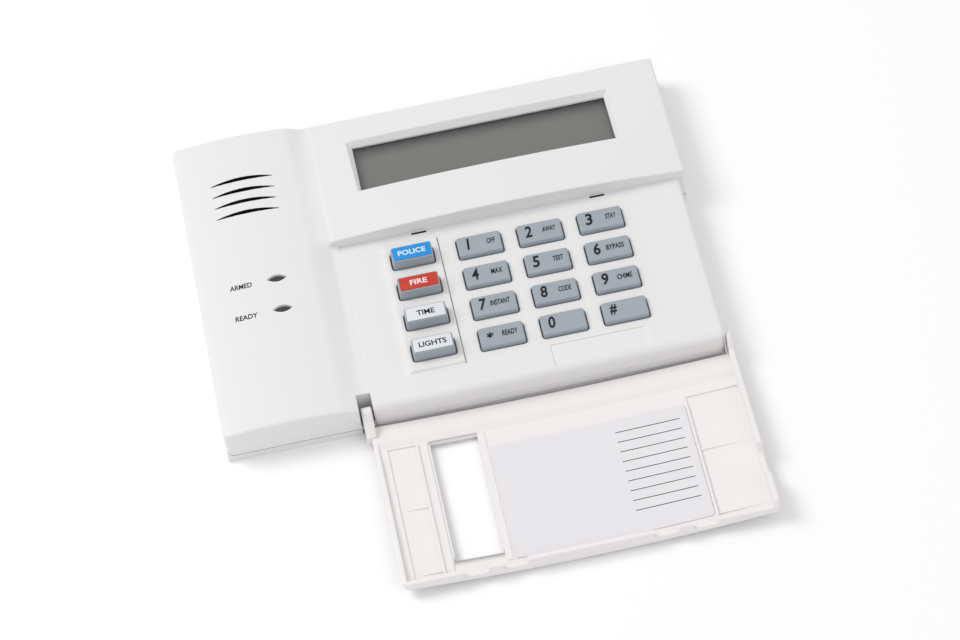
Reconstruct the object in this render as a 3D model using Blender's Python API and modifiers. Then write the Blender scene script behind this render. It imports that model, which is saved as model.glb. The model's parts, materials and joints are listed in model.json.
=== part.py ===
"""Alarm keypad panel with a flip-down door, as an assembly of separate parts.

X is the panel's right seen from the front, Y is up along its height and Z comes out of its
face. The origin is the centre of the back plate's rear face, which lies on the wall. The door
stands open, turned down past the lower edge, and everything is in metres.
"""

import math

import bmesh
import bpy
from mathutils import Matrix, Vector

MM = 0.001

# Driving dimensions of the casing
BODY_WIDTH = 187.0 * MM
BODY_HEIGHT = 135.0 * MM
WALL = 2.2 * MM
GAP = 0.3 * MM  # clearance between pieces that seat on one another
SLIM_GAP = 0.1 * MM  # clearance inside the display module
CUT_MARGIN = 2.0 * MM  # how far a cutter runs past the face it opens
CASE_BACK_Z = 3.4 * MM  # where the front case meets the back plate
EDGE_ROUND = 1.2 * MM

# Wing on the left, which holds the sounder and the two status lights
WING_WIDTH = 49.5 * MM
WING_OVER_DECK = 1.0 * MM  # height of its side edges over the deck, at the bottom
WING_RISE = 2.8 * MM  # how much higher it stands at the top of the panel
WING_ARCH = 2.0 * MM  # how far its middle stands over its side edges
VALLEY_DROP = 0.4 * MM  # how far the valley beside the display lies under the wing's edge

# Display section at the top right
DISPLAY_OFFSET = 2.0 * MM  # from the wing to the display block
DISPLAY_DEPTH_Y = 59.2 * MM  # from the top of the body to the display's lower edge
DISPLAY_LOW_RISE = 7.0 * MM  # crown of its lower edge over the deck
DISPLAY_TOP_RISE = 2.1 * MM  # its straight upper edge over the deck
CROWN_OFFSET = -1.75 * MM  # of the crown line from the display's middle
DISPLAY_SAG = 3.4 * MM  # how far the lower edge falls from the crown to the right end

# Key section under the display
NOTCH_WIDTH = 5.3 * MM  # slot between wing and keys that takes the door's left ear
NOTCH_DEPTH = 7.7 * MM
KEYS_INSET = 2.5 * MM  # how far the keys' end stands back from the display's end
DECK_Z = 13.6 * MM
DECK_WALL = 1.8 * MM
LIP_ROUND = 3.0 * MM
LINK_DROP = 0.2 * MM

# Back plate
PLATE_FLOOR = 1.8 * MM
PLATE_RIM = 2.4 * MM
WIRE_OPENING = (46.0 * MM, 26.0 * MM)
WIRE_OFFSET = (2.75 * MM, -87.5 * MM)  # from the wing's middle and the body's top
SCREW_HOLE_RADIUS = 2.2 * MM
SCREW_HOLE_INSET = (22.0 * MM, 18.0 * MM)
SNAP_SIZE = (9.0 * MM, 1.5 * MM, 7.5 * MM)
SNAP_NOSE = 0.9 * MM
SNAP_NOSE_THICK = 1.2 * MM
SNAP_SINK = 0.2 * MM  # how far a nose starts inside its snap

# Keys
KEY_COLUMNS = 3
KEY_ROWS = 4
KEY_FIRST = (51.2 * MM, 12.8 * MM)  # from the key section's left end and upper edge
KEY_PITCH_X = 22.9 * MM
KEY_PITCH_Y = 14.3 * MM
KEY_SIZE = (16.6 * MM, 9.2 * MM)
KEY_PROUD = 1.8 * MM  # how far a key stands over the deck
KEY_TRAVEL = 1.2 * MM
KEY_ROUND = 0.6 * MM
KEY_FLANGE = 1.0 * MM
KEY_FLANGE_THICK = 0.8 * MM
FUNCTION_INSET = 25.9 * MM
FUNCTION_SIZE = (15.8 * MM, 7.4 * MM)
FUNCTION_PROUD = 4.2 * MM  # how far a function key stands over its plateau
PLATEAU_RISE = 0.9 * MM
PLATEAU_MARGIN = (2.5 * MM, 4.6 * MM)
STICKER_INSET = 0.8 * MM
STICKER_THICK = 0.2 * MM
STICKER_GAP = 0.1 * MM

# Door
DOOR_OVERHANG = 2.7 * MM  # how far the door reaches past the key section's left end
DOOR_WALL = 1.6 * MM
DOOR_END_GAP = 0.1 * MM  # from the door's right end to the body's right end
DOOR_SIDE_WALL = 2.0 * MM
DOOR_HINGE_CLEAR = 3.3 * MM  # from the hinge line to the door's panel
DOOR_FREE_DROP = 0.2 * MM  # crown of the shut free edge under the display's lower edge
DOOR_HINGE_RISE = 4.4 * MM  # crown of the shut hinge end over the deck
DOOR_HINGE_SAG = 1.6 * MM
DOOR_RIM_DROP = 3.4 * MM  # how far the shut right side wall reaches under the deck
HINGE_RISE = 1.9 * MM  # from the body's lower edge to the hinge line
HINGE_DROP = 4.4 * MM  # from the deck down to the hinge line
OPEN_ANGLE = 178.0  # degrees between shut and open
PEG_RADIUS = 0.95 * MM
PEG_DEPTH = 2.8 * MM
PEG_BACKING = 0.9 * MM  # wall between a peg hole and the case's hollow
KNUCKLE_RADIUS = 3.2 * MM
EAR_BELOW = 1.0 * MM  # how far an ear reaches past the hinge line
WINDOW_CLEARANCE = 0.8 * MM
GRIP_INSET = (13.0 * MM, 27.0 * MM)  # from the door's free edge
GRIP_RISE = 4.0 * MM
NIB_SIZE = (5.0 * MM, 0.9 * MM, 1.9 * MM)
NIB_SETBACK = 0.4 * MM
NIB_INSETS = (30.3 * MM, 98.2 * MM)  # from the key section's left end
CARD_SIZE = (71.5 * MM, 49.0 * MM)
CARD_INSET = (3.55 * MM, 4.5 * MM)  # from the window and from the door's free edge
CARD_THICK = 0.25 * MM
CARD_GAP = 0.1 * MM
RIB_HEIGHT = 0.5 * MM
RIB_WIDTH = 0.9 * MM
WINDOW_RIB_HEIGHT = 1.0 * MM
WINDOW_RIB_INSET = (4.2 * MM, 5.2 * MM)  # from the window's left edge

# Display module, in a frame that lies parallel to the display's face
GLASS_OFFSET = (-2.75 * MM, -25.9 * MM)  # from the display's middle and the body's top
VIEW_SIZE = (98.0 * MM, 24.0 * MM)
VIEW_DEPTH = 2.5 * MM  # of the view under the display's face
VIEW_LEDGE = 0.8 * MM
FUNNEL_LAP = 0.4 * MM  # how far the cutters of the view overlap
CHAMFER_SIDE = 3.6 * MM
CHAMFER_TOP = 3.0 * MM
LENS_MARGIN = 3.5 * MM
LENS_THICK = 1.3 * MM
FRAME_SIZE = (109.0 * MM, 34.0 * MM, 4.0 * MM)
FRAME_SHEET = 0.6 * MM
FRAME_LEDGE = 1.0 * MM
LCD_GLASS_THICK = 1.3 * MM
BACKLIGHT_THICK = 1.4 * MM
LCD_BOARD_SIZE = (122.0 * MM, 44.0 * MM)
BOARD_THICK = 1.6 * MM
LCD_SCREW_INSET = 3.5 * MM
JUMPER_WIDTH = 28.0 * MM
JUMPER_LAP = 3.8 * MM
JUMPER_THICK = 0.8 * MM

# Main board and what is on it
BOARD_INSETS = (9.5 * MM, 5.0 * MM, 11.5 * MM)  # from the body's left, the keys' end and the bottom
BOARD_PAST_DECK = 6.7 * MM  # how far it runs up behind the display
BOARD_SCREW_INSET = 4.5 * MM
POST_RADIUS = 2.6 * MM
SCREW_SHANK = 0.9 * MM
SCREW_HEAD = (2.3 * MM, 1.4 * MM)
SCREW_LENGTH = 4.5 * MM
CHIP_PLACE = (20.0 * MM, -20.0 * MM)
CHIP_SIZE = (14.0 * MM, 14.0 * MM, 1.8 * MM)
CRYSTAL_PLACE = (38.0 * MM, -20.0 * MM)
CRYSTAL_SIZE = (11.0 * MM, 4.6 * MM, 3.4 * MM)
CRYSTAL_ROUND = 1.0 * MM
CAPACITOR_PLACE = (-20.0 * MM, -20.0 * MM)
CAPACITOR_RADIUS = 3.0 * MM
CAPACITOR_CLEAR = 0.5 * MM  # over the back plate's floor
MAT_THICK = 1.5 * MM
MAT_MARGIN = 2.2 * MM

# Sounder and lights in the wing
SOUNDER_OFFSET = (-0.75 * MM, -30.0 * MM)  # from the wing's middle and the body's top
SOUNDER_RADIUS = 14.0 * MM
SOUNDER_THICK = 5.5 * MM
RING_WALL = 1.5 * MM
SOUNDER_CLEAR = 1.5 * MM  # from the sounder up to the wing's wall
SLIT_COUNT = 4
SLIT_LENGTH = 24.0 * MM
SLIT_PITCH = 5.3 * MM
SLIT_RISE = (1.6 * MM, 3.0 * MM)
LIGHT_OFFSET = 5.25 * MM  # from the wing's middle
LIGHT_DROPS = (70.7 * MM, 84.8 * MM)  # from the body's top
LIGHT_SIZE = (6.8 * MM, 2.8 * MM)
LIGHT_RECESS = 0.9 * MM
LED_SIZE = (3.0 * MM, 2.0 * MM, 2.0 * MM)

# Terminal block at the wire opening
TERMINAL_COUNT = 4
TERMINAL_PITCH = 5.0 * MM
TERMINAL_SIZE = (21.0 * MM, 8.0 * MM, 5.2 * MM)
TERMINAL_SCREW_RADIUS = 1.5 * MM
TERMINAL_SCREW_THICK = 1.2 * MM
TERMINAL_WELL = 2.0 * MM

# Colours as linear red, green and blue, with roughness and metallic value
FINISHES = {
    "white_plastic": ((0.80, 0.79, 0.78), 0.45, 0.0),
    "key_grey": ((0.35, 0.41, 0.46), 0.40, 0.0),
    "silicone": ((0.30, 0.34, 0.37), 0.70, 0.0),
    "blue_label": ((0.00, 0.28, 0.80), 0.40, 0.0),
    "red_label": ((0.62, 0.05, 0.03), 0.40, 0.0),
    "white_label": ((0.78, 0.80, 0.82), 0.40, 0.0),
    "paper": ((0.80, 0.79, 0.81), 0.80, 0.0),
    "clear_plastic": ((0.75, 0.77, 0.76), 0.10, 0.0),
    "lcd_glass": ((0.19, 0.19, 0.17), 0.15, 0.0),
    "diffuser": ((0.70, 0.75, 0.60), 0.50, 0.0),
    "steel": ((0.55, 0.55, 0.56), 0.30, 1.0),
    "board_green": ((0.03, 0.18, 0.07), 0.50, 0.0),
    "chip_black": ((0.02, 0.02, 0.02), 0.50, 0.0),
    "terminal_green": ((0.05, 0.30, 0.12), 0.50, 0.0),
    "smoked_plastic": ((0.05, 0.05, 0.06), 0.20, 0.0),
    "sounder_black": ((0.03, 0.03, 0.03), 0.45, 0.0),
}

LEFT = -BODY_WIDTH / 2
RIGHT = BODY_WIDTH / 2
BOTTOM = -BODY_HEIGHT / 2
TOP = BODY_HEIGHT / 2
WING_RIGHT_X = LEFT + WING_WIDTH
WING_MIDDLE_X = LEFT + WING_WIDTH / 2
DISPLAY_LEFT_X = WING_RIGHT_X + DISPLAY_OFFSET
DISPLAY_BOTTOM_Y = TOP - DISPLAY_DEPTH_Y
KEYS_LEFT_X = WING_RIGHT_X + NOTCH_WIDTH
KEYS_RIGHT_X = RIGHT - KEYS_INSET
NOTCH_TOP_Y = BOTTOM + NOTCH_DEPTH
HINGE_Y = BOTTOM + HINGE_RISE
WIRE_CENTRE = (WING_MIDDLE_X + WIRE_OFFSET[0], TOP + WIRE_OFFSET[1])
SOUNDER_CENTRE = (WING_MIDDLE_X + SOUNDER_OFFSET[0], TOP + SOUNDER_OFFSET[1])
LIGHT_X = WING_MIDDLE_X + LIGHT_OFFSET
LIGHT_YS = tuple(TOP - drop for drop in LIGHT_DROPS)
GLASS_CENTRE = ((DISPLAY_LEFT_X + RIGHT) / 2 + GLASS_OFFSET[0], TOP + GLASS_OFFSET[1])
BOARD_LEFT_X = LEFT + BOARD_INSETS[0]
BOARD_RIGHT_X = KEYS_RIGHT_X - BOARD_INSETS[1]
BOARD_BOTTOM_Y = BOTTOM + BOARD_INSETS[2]
BOARD_TOP_Y = DISPLAY_BOTTOM_Y + BOARD_PAST_DECK
KEY_FIRST_X = KEYS_LEFT_X + KEY_FIRST[0]
KEY_FIRST_Y = DISPLAY_BOTTOM_Y - KEY_FIRST[1]
FUNCTION_X = KEYS_LEFT_X + FUNCTION_INSET
DOOR_LEFT_X = KEYS_LEFT_X - DOOR_OVERHANG
DOOR_HINGE_END_Y = HINGE_Y + DOOR_HINGE_CLEAR
DECK_INNER_Z = DECK_Z - DECK_WALL
WING_EDGE_Z = DECK_Z + WING_OVER_DECK
DISPLAY_LOW_Z = DECK_Z + DISPLAY_LOW_RISE
DISPLAY_TOP_Z = DECK_Z + DISPLAY_TOP_RISE
LINK_Z = DECK_Z - LINK_DROP
PLATEAU_Z = DECK_Z + PLATEAU_RISE
KEY_TOP_Z = DECK_Z + KEY_PROUD
FUNCTION_TOP_Z = PLATEAU_Z + FUNCTION_PROUD
HINGE_Z = DECK_Z - HINGE_DROP
DOOR_FREE_Z = DISPLAY_LOW_Z - DOOR_FREE_DROP
DOOR_HINGE_Z = DECK_Z + DOOR_HINGE_RISE
DOOR_RIM_Z = DECK_Z - DOOR_RIM_DROP
PLATE_Z = CASE_BACK_Z - GAP
KEY_BASE_Z = DECK_INNER_Z - GAP - KEY_FLANGE_THICK
BOARD_TOP_Z = KEY_BASE_Z - KEY_TRAVEL - GAP
DOOR_RIGHT_X = RIGHT - DOOR_END_GAP
DOOR_FREE_Y = DISPLAY_BOTTOM_Y - GAP
CROWN_X = (DISPLAY_LEFT_X + RIGHT) / 2 + CROWN_OFFSET
CROWN_REACH = RIGHT - CROWN_X
GRIP_Y = (DOOR_FREE_Y - GRIP_INSET[1], DOOR_FREE_Y - GRIP_INSET[0])
NIB_CENTRES_X = tuple(KEYS_LEFT_X + inset for inset in NIB_INSETS)
FACE_TILT = math.atan2(DISPLAY_LOW_Z - DISPLAY_TOP_Z, DISPLAY_DEPTH_Y)
VIEW_Z = DISPLAY_TOP_Z + (TOP - GLASS_CENTRE[1]) * math.tan(FACE_TILT) - VIEW_DEPTH


# ---------------------------------------------------------------- surfaces


def across(x):
    """Share of the full sag at x, from 0 on the crown line to 1 at the right end."""
    return ((x - CROWN_X) / CROWN_REACH) ** 2


def wing_top(x, y):
    """Outer height of the wing, arched from side to side and rising to the top."""
    share = (x - WING_MIDDLE_X) / (WING_WIDTH / 2)
    rise = WING_RISE * (y - BOTTOM) / BODY_HEIGHT
    return WING_EDGE_Z + rise + WING_ARCH * (1 - share * share)


def valley_top(_, y):
    """Height of the valley between the wing and the display, just under the wing's edge."""
    return WING_EDGE_Z + WING_RISE * (y - BOTTOM) / BODY_HEIGHT - VALLEY_DROP


def display_top(x, y):
    """Outer height of the display section, ruled from an arched to a straight edge."""
    low = DISPLAY_LOW_Z - DISPLAY_SAG * across(x)
    share = (y - DISPLAY_BOTTOM_Y) / DISPLAY_DEPTH_Y
    return low + (DISPLAY_TOP_Z - low) * share


def door_top(x, y):
    """Outer height of the shut door."""
    free = DOOR_FREE_Z - DISPLAY_SAG * across(x)
    hinge = DOOR_HINGE_Z - DOOR_HINGE_SAG * across(x)
    share = (y - DOOR_HINGE_END_Y) / (DOOR_FREE_Y - DOOR_HINGE_END_Y)
    return hinge + (free - hinge) * share


def lowered(surface, depth):
    """The same surface moved down by depth."""
    return lambda x, y: surface(x, y) - depth


def flat(z):
    """A level surface at z."""
    return lambda x, y: z


# ---------------------------------------------------------------- building helpers


def clear_scene():
    """Remove every object, mesh and material that a new file starts with."""
    for item in list(bpy.data.objects):
        bpy.data.objects.remove(item, do_unlink=True)
    for block in (bpy.data.meshes, bpy.data.curves, bpy.data.materials):
        for item in list(block):
            block.remove(item)


def new_collection(name):
    """Add a collection to the scene."""
    collection = bpy.data.collections.new(name)
    bpy.context.scene.collection.children.link(collection)
    return collection


def finish(name):
    """The material of a finish, made the first time it is asked for."""
    material = bpy.data.materials.get(name)
    if material is None:
        colour, roughness, metallic = FINISHES[name]
        material = bpy.data.materials.new(name)
        material.use_nodes = True
        shader = material.node_tree.nodes["Principled BSDF"]
        shader.inputs["Base Color"].default_value = (*colour, 1.0)
        shader.inputs["Roughness"].default_value = roughness
        shader.inputs["Metallic"].default_value = metallic
    return material


def add_mesh(name, builder):
    """Make a hidden helper object from a filled bmesh; keep() turns it into a part."""
    mesh = bpy.data.meshes.new(name)
    builder.to_mesh(mesh)
    builder.free()
    item = bpy.data.objects.new(name, mesh)
    HELPERS.objects.link(item)
    item.hide_render = True
    item.display_type = "WIRE"
    return item


def keep(item, finish_name):
    """Move an object from the helpers to the panel's own parts and give it its finish."""
    HELPERS.objects.unlink(item)
    PARTS.objects.link(item)
    item.hide_render = False
    item.display_type = "TEXTURED"
    item.data.materials.append(finish(finish_name))
    return item


def boxes(name, spans):
    """Boxes in one object, each given as its lowest and highest corner."""
    builder = bmesh.new()
    for low, high in spans:
        size = Vector(high) - Vector(low)
        centre = (Vector(high) + Vector(low)) / 2
        matrix = Matrix.Translation(centre) @ Matrix.Diagonal((*size, 1.0))
        bmesh.ops.create_cube(builder, size=1.0, matrix=matrix)
    return add_mesh(name, builder)


def box(name, low, high):
    """A box from its lowest to its highest corner."""
    return boxes(name, [(low, high)])


def centred_box(name, centre, size, z_low, z_high):
    """A box centred on a point in X and Y."""
    low = (centre[0] - size[0] / 2, centre[1] - size[1] / 2, z_low)
    high = (centre[0] + size[0] / 2, centre[1] + size[1] / 2, z_high)
    return box(name, low, high)


def rod(name, start, direction, length, radius, sides=20):
    """A cylinder from a start point along a unit direction."""
    builder = bmesh.new()
    direction = Vector(direction)
    turn = direction.to_track_quat("Z", "Y").to_matrix().to_4x4()
    middle = Vector(start) + direction * (length / 2)
    bmesh.ops.create_cone(
        builder,
        cap_ends=True,
        segments=sides,
        radius1=radius,
        radius2=radius,
        depth=length,
        matrix=Matrix.Translation(middle) @ turn,
    )
    item = add_mesh(name, builder)
    item.data.shade_smooth()
    item.data.set_sharp_from_angle(angle=math.radians(40))
    return item


def arched_block(name, x_span, y_span, bottom, top, steps=14):
    """A block between two height surfaces, divided along X so that they can arch."""
    builder = bmesh.new()
    bmesh.ops.create_grid(builder, x_segments=steps, y_segments=1, size=0.5)
    for vert in builder.verts:
        vert.co.x = x_span[0] + (vert.co.x + 0.5) * (x_span[1] - x_span[0])
        vert.co.y = y_span[0] + (vert.co.y + 0.5) * (y_span[1] - y_span[0])
        vert.co.z = top(vert.co.x, vert.co.y)
    result = bmesh.ops.extrude_face_region(builder, geom=builder.faces[:])
    for vert in result["geom"]:
        if isinstance(vert, bmesh.types.BMVert):
            vert.co.z = bottom(vert.co.x, vert.co.y)
    bmesh.ops.recalc_face_normals(builder, faces=builder.faces[:])
    return add_mesh(name, builder)


def outline_plate(name, outlines, z_low, z_high):
    """A flat plate from closed outlines; an outline inside another is a hole."""
    curve = bpy.data.curves.new(name, "CURVE")
    curve.dimensions = "2D"
    curve.fill_mode = "BOTH"
    curve.extrude = (z_high - z_low) / 2
    for outline in outlines:
        spline = curve.splines.new("POLY")
        spline.points.add(len(outline) - 1)
        for point, (x, y) in zip(spline.points, outline):
            point.co = (x, y, 0.0, 1.0)
        spline.use_cyclic_u = True
    drawn = bpy.data.objects.new(name + "_outline", curve)
    HELPERS.objects.link(drawn)
    drawn.location.z = (z_low + z_high) / 2
    bpy.context.view_layer.update()
    mesh = bpy.data.meshes.new_from_object(drawn.evaluated_get(bpy.context.evaluated_depsgraph_get()))
    mesh.transform(drawn.matrix_world)
    bpy.data.objects.remove(drawn, do_unlink=True)
    builder = bmesh.new()
    builder.from_mesh(mesh)
    bpy.data.meshes.remove(mesh)
    bmesh.ops.remove_doubles(builder, verts=builder.verts[:], dist=1e-7)
    bmesh.ops.recalc_face_normals(builder, faces=builder.faces[:])
    return add_mesh(name, builder)


def rectangle(centre, size):
    """The corners of a rectangle."""
    half_x, half_y = size[0] / 2, size[1] / 2
    x, y = centre
    return [
        (x - half_x, y - half_y),
        (x + half_x, y - half_y),
        (x + half_x, y + half_y),
        (x - half_x, y + half_y),
    ]


def circle(centre, radius, sides=20):
    """Points round a circle."""
    angles = [2 * math.pi * step / sides for step in range(sides)]
    return [(centre[0] + radius * math.cos(a), centre[1] + radius * math.sin(a)) for a in angles]


def crescent(centre, length, low_rise, high_rise, steps=12):
    """A sliver between two arcs that meet at its pointed ends."""
    shares = [2 * step / steps - 1 for step in range(steps + 1)]
    low = [(centre[0] + s * length / 2, centre[1] + low_rise * (1 - s * s)) for s in shares]
    high = [(centre[0] + s * length / 2, centre[1] + high_rise * (1 - s * s)) for s in shares]
    return low + high[-2:0:-1]


def boolean(target, other, operation):
    """Cut or join another object, with the exact solver."""
    modifier = target.modifiers.new(other.name, "BOOLEAN")
    modifier.operation = operation
    modifier.solver = "EXACT"
    modifier.object = other


def cut(target, other):
    """Take another object's volume out of target."""
    boolean(target, other, "DIFFERENCE")


def join(target, other):
    """Add another object's volume to target."""
    boolean(target, other, "UNION")


def round_edges(item, width, segments=2):
    """Round every edge sharper than 40 degrees."""
    modifier = item.modifiers.new("rounded_edges", "BEVEL")
    modifier.width = width
    modifier.segments = segments
    modifier.limit_method = "ANGLE"
    modifier.angle_limit = math.radians(40)


def set_origin(item, point):
    """Move an object's origin to a point and leave its shape where it is."""
    item.data.transform(Matrix.Translation(-Vector(point)))
    item.location = point


def lay_in_display(items):
    """Turn objects that were built round the display's own origin into the display."""
    for item in items:
        item.location = (GLASS_CENTRE[0], GLASS_CENTRE[1], VIEW_Z)
        item.rotation_euler.x = -FACE_TILT


# ---------------------------------------------------------------- key positions


def key_centre(column, row):
    """Centre of a main key."""
    return (KEY_FIRST_X + column * KEY_PITCH_X, KEY_FIRST_Y - row * KEY_PITCH_Y)


def function_centre(row):
    """Centre of a function key."""
    return (FUNCTION_X, KEY_FIRST_Y - row * KEY_PITCH_Y)


def grown(size, margin):
    """A size in X and Y with a margin all round."""
    return (size[0] + 2 * margin, size[1] + 2 * margin)


MAIN_KEYS = {
    "key_1": (0, 0),
    "key_2": (1, 0),
    "key_3": (2, 0),
    "key_4": (0, 1),
    "key_5": (1, 1),
    "key_6": (2, 1),
    "key_7": (0, 2),
    "key_8": (1, 2),
    "key_9": (2, 2),
    "key_star": (0, 3),
    "key_0": (1, 3),
    "key_hash": (2, 3),
}
FUNCTION_KEYS = {
    "key_police": (0, "blue_label"),
    "key_fire": (1, "red_label"),
    "key_time": (2, "white_label"),
    "key_lights": (3, "white_label"),
}


def key_openings():
    """Centre and size of every key, main keys first."""
    main = [(key_centre(*place), KEY_SIZE) for place in MAIN_KEYS.values()]
    function = [(function_centre(row), FUNCTION_SIZE) for row, _ in FUNCTION_KEYS.values()]
    return main + function


def board_screw_places():
    """Where the main board is screwed to the case's posts."""
    xs = (BOARD_LEFT_X + BOARD_SCREW_INSET, BOARD_RIGHT_X - BOARD_SCREW_INSET)
    ys = (BOARD_BOTTOM_Y + BOARD_SCREW_INSET, BOARD_TOP_Y - BOARD_SCREW_INSET)
    return [(x, y) for y in ys for x in xs]


def lcd_screw_places():
    """Where the display board is screwed to the case's posts, in the display's frame."""
    x = LCD_BOARD_SIZE[0] / 2 - LCD_SCREW_INSET
    y = LCD_BOARD_SIZE[1] / 2 - LCD_SCREW_INSET
    return [(-x, -y), (x, -y), (-x, y), (x, y)]


# Heights of the display module's layers under the view, in the display's frame
LENS_TOP = -VIEW_LEDGE - GAP
FRAME_TOP = LENS_TOP - LENS_THICK - GAP
LCD_GLASS_TOP = FRAME_TOP - FRAME_SHEET - GAP
BACKLIGHT_TOP = LCD_GLASS_TOP - LCD_GLASS_THICK - SLIM_GAP
LCD_BOARD_TOP = FRAME_TOP - FRAME_SIZE[2] - GAP


# ---------------------------------------------------------------- casing


def snap_places():
    """Centres of the back plate's snap hooks and which way their noses point along Y."""
    inside_top = TOP - WALL - GAP - SNAP_SIZE[1] / 2
    inside_bottom = BOTTOM + WALL + GAP + SNAP_SIZE[1] / 2
    display_x = RIGHT - WING_WIDTH / 2
    return [(WING_MIDDLE_X, inside_top, 1), (display_x, inside_top, 1), (WING_MIDDLE_X, inside_bottom, -1)]


def snap_nose_span(place, clearance):
    """Low and high corner of a snap hook's nose, grown by a clearance."""
    x, y, side = place
    face = y + side * SNAP_SIZE[1] / 2
    reach = face + side * (SNAP_NOSE + clearance)
    top = PLATE_FLOOR + SNAP_SIZE[2]
    half = SNAP_SIZE[0] / 2 + clearance
    start = face - side * SNAP_SINK
    low = (x - half, min(start, reach), top - SNAP_NOSE_THICK - clearance)
    high = (x + half, max(start, reach), top + clearance)
    return low, high


def build_back_plate():
    """The plate that is screwed to the wall, with its wire opening and snap hooks."""
    body = [
        (LEFT, BOTTOM),
        (WING_RIGHT_X, BOTTOM),
        (WING_RIGHT_X, NOTCH_TOP_Y),
        (KEYS_LEFT_X, NOTCH_TOP_Y),
        (KEYS_LEFT_X, BOTTOM),
        (KEYS_RIGHT_X, BOTTOM),
        (KEYS_RIGHT_X, DISPLAY_BOTTOM_Y),
        (RIGHT, DISPLAY_BOTTOM_Y),
        (RIGHT, TOP),
        (LEFT, TOP),
    ]
    holes = [
        circle(
            (side_x * (RIGHT - SCREW_HOLE_INSET[0]), side_y * (TOP - SCREW_HOLE_INSET[1])),
            SCREW_HOLE_RADIUS,
        )
        for side_x in (-1, 1)
        for side_y in (-1, 1)
    ]
    plate = outline_plate("back_plate", [body, rectangle(WIRE_CENTRE, WIRE_OPENING), *holes], 0.0, PLATE_Z)
    inner_edge = NOTCH_TOP_Y + PLATE_RIM
    pocket_top = CASE_BACK_Z + CUT_MARGIN
    wing_pocket = box(
        "wing_pocket",
        (LEFT + PLATE_RIM, BOTTOM + PLATE_RIM, PLATE_FLOOR),
        (WING_RIGHT_X - PLATE_RIM, TOP - PLATE_RIM, pocket_top),
    )
    main_pocket = box(
        "main_pocket",
        (WING_RIGHT_X - 2 * PLATE_RIM, inner_edge, PLATE_FLOOR),
        (KEYS_RIGHT_X - PLATE_RIM, TOP - PLATE_RIM, pocket_top),
    )
    cut(plate, wing_pocket)
    cut(plate, main_pocket)
    for index, place in enumerate(snap_places()):
        x, y, _ = place
        size = (SNAP_SIZE[0], SNAP_SIZE[1])
        hook = centred_box(f"snap_hook_{index}", (x, y), size, PLATE_FLOOR / 2, PLATE_FLOOR + SNAP_SIZE[2])
        nose = box(f"snap_nose_{index}", *snap_nose_span(place, 0.0))
        join(hook, nose)
        join(plate, hook)
    keep(plate, "white_plastic")


def lip_outline():
    """Section of the key block in Y and Z, with its rounded lower lip."""
    centre_y = BOTTOM + LIP_ROUND
    centre_z = DECK_Z - LIP_ROUND
    steps = 6
    angles = [math.pi - step * math.pi / 2 / steps for step in range(steps + 1)]
    arc = [(centre_y + LIP_ROUND * math.cos(a), centre_z + LIP_ROUND * math.sin(a)) for a in angles]
    back_y = DISPLAY_BOTTOM_Y + WALL
    return [(BOTTOM, CASE_BACK_Z), *arc, (back_y, DECK_Z), (back_y, CASE_BACK_Z)]


def build_key_block():
    """The block under the keys: its section drawn flat, then stood up along X."""
    width = KEYS_RIGHT_X - KEYS_LEFT_X
    block = outline_plate("key_block", [lip_outline()], 0.0, width)
    turn = Matrix(((0, 0, 1, KEYS_LEFT_X), (1, 0, 0, 0), (0, 1, 0, 0), (0, 0, 0, 1)))
    block.data.transform(turn)
    return block


def light_outline(y, clearance):
    """Pointed oval of a status light, grown by a clearance."""
    length = LIGHT_SIZE[0] + 2 * clearance
    half = LIGHT_SIZE[1] / 2 + clearance
    return crescent((LIGHT_X, y), length, -half, half)


def add_case_blocks(case):
    """Join the wing's neighbours to it: display, keys, the link between them and pads."""
    display = arched_block(
        "display_block", (DISPLAY_LEFT_X, RIGHT), (DISPLAY_BOTTOM_Y, TOP), flat(CASE_BACK_Z), display_top
    )
    round_edges(display, EDGE_ROUND)
    link = box(
        "link_block",
        (WING_RIGHT_X - EDGE_ROUND * 2, NOTCH_TOP_Y, CASE_BACK_Z),
        (KEYS_LEFT_X + EDGE_ROUND, TOP - EDGE_ROUND, LINK_Z),
    )
    last_row = function_centre(KEY_ROWS - 1)[1]
    plateau_y = (function_centre(0)[1] + last_row) / 2
    plateau_size = (
        FUNCTION_SIZE[0] + 2 * PLATEAU_MARGIN[0],
        (KEY_ROWS - 1) * KEY_PITCH_Y + FUNCTION_SIZE[1] + 2 * PLATEAU_MARGIN[1],
    )
    plateau_low_z = DECK_Z - DECK_WALL / 2
    plateau = centred_box(
        "plateau", (FUNCTION_X, plateau_y), plateau_size, plateau_low_z, PLATEAU_Z
    )
    valley = arched_block(
        "valley_block",
        (WING_RIGHT_X - EDGE_ROUND * 2, DISPLAY_LEFT_X + EDGE_ROUND * 2),
        (DISPLAY_BOTTOM_Y + EDGE_ROUND, TOP - EDGE_ROUND),
        flat(CASE_BACK_Z),
        valley_top,
        1,
    )
    for block in (display, link, valley, build_key_block(), plateau):
        join(case, block)


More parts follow.
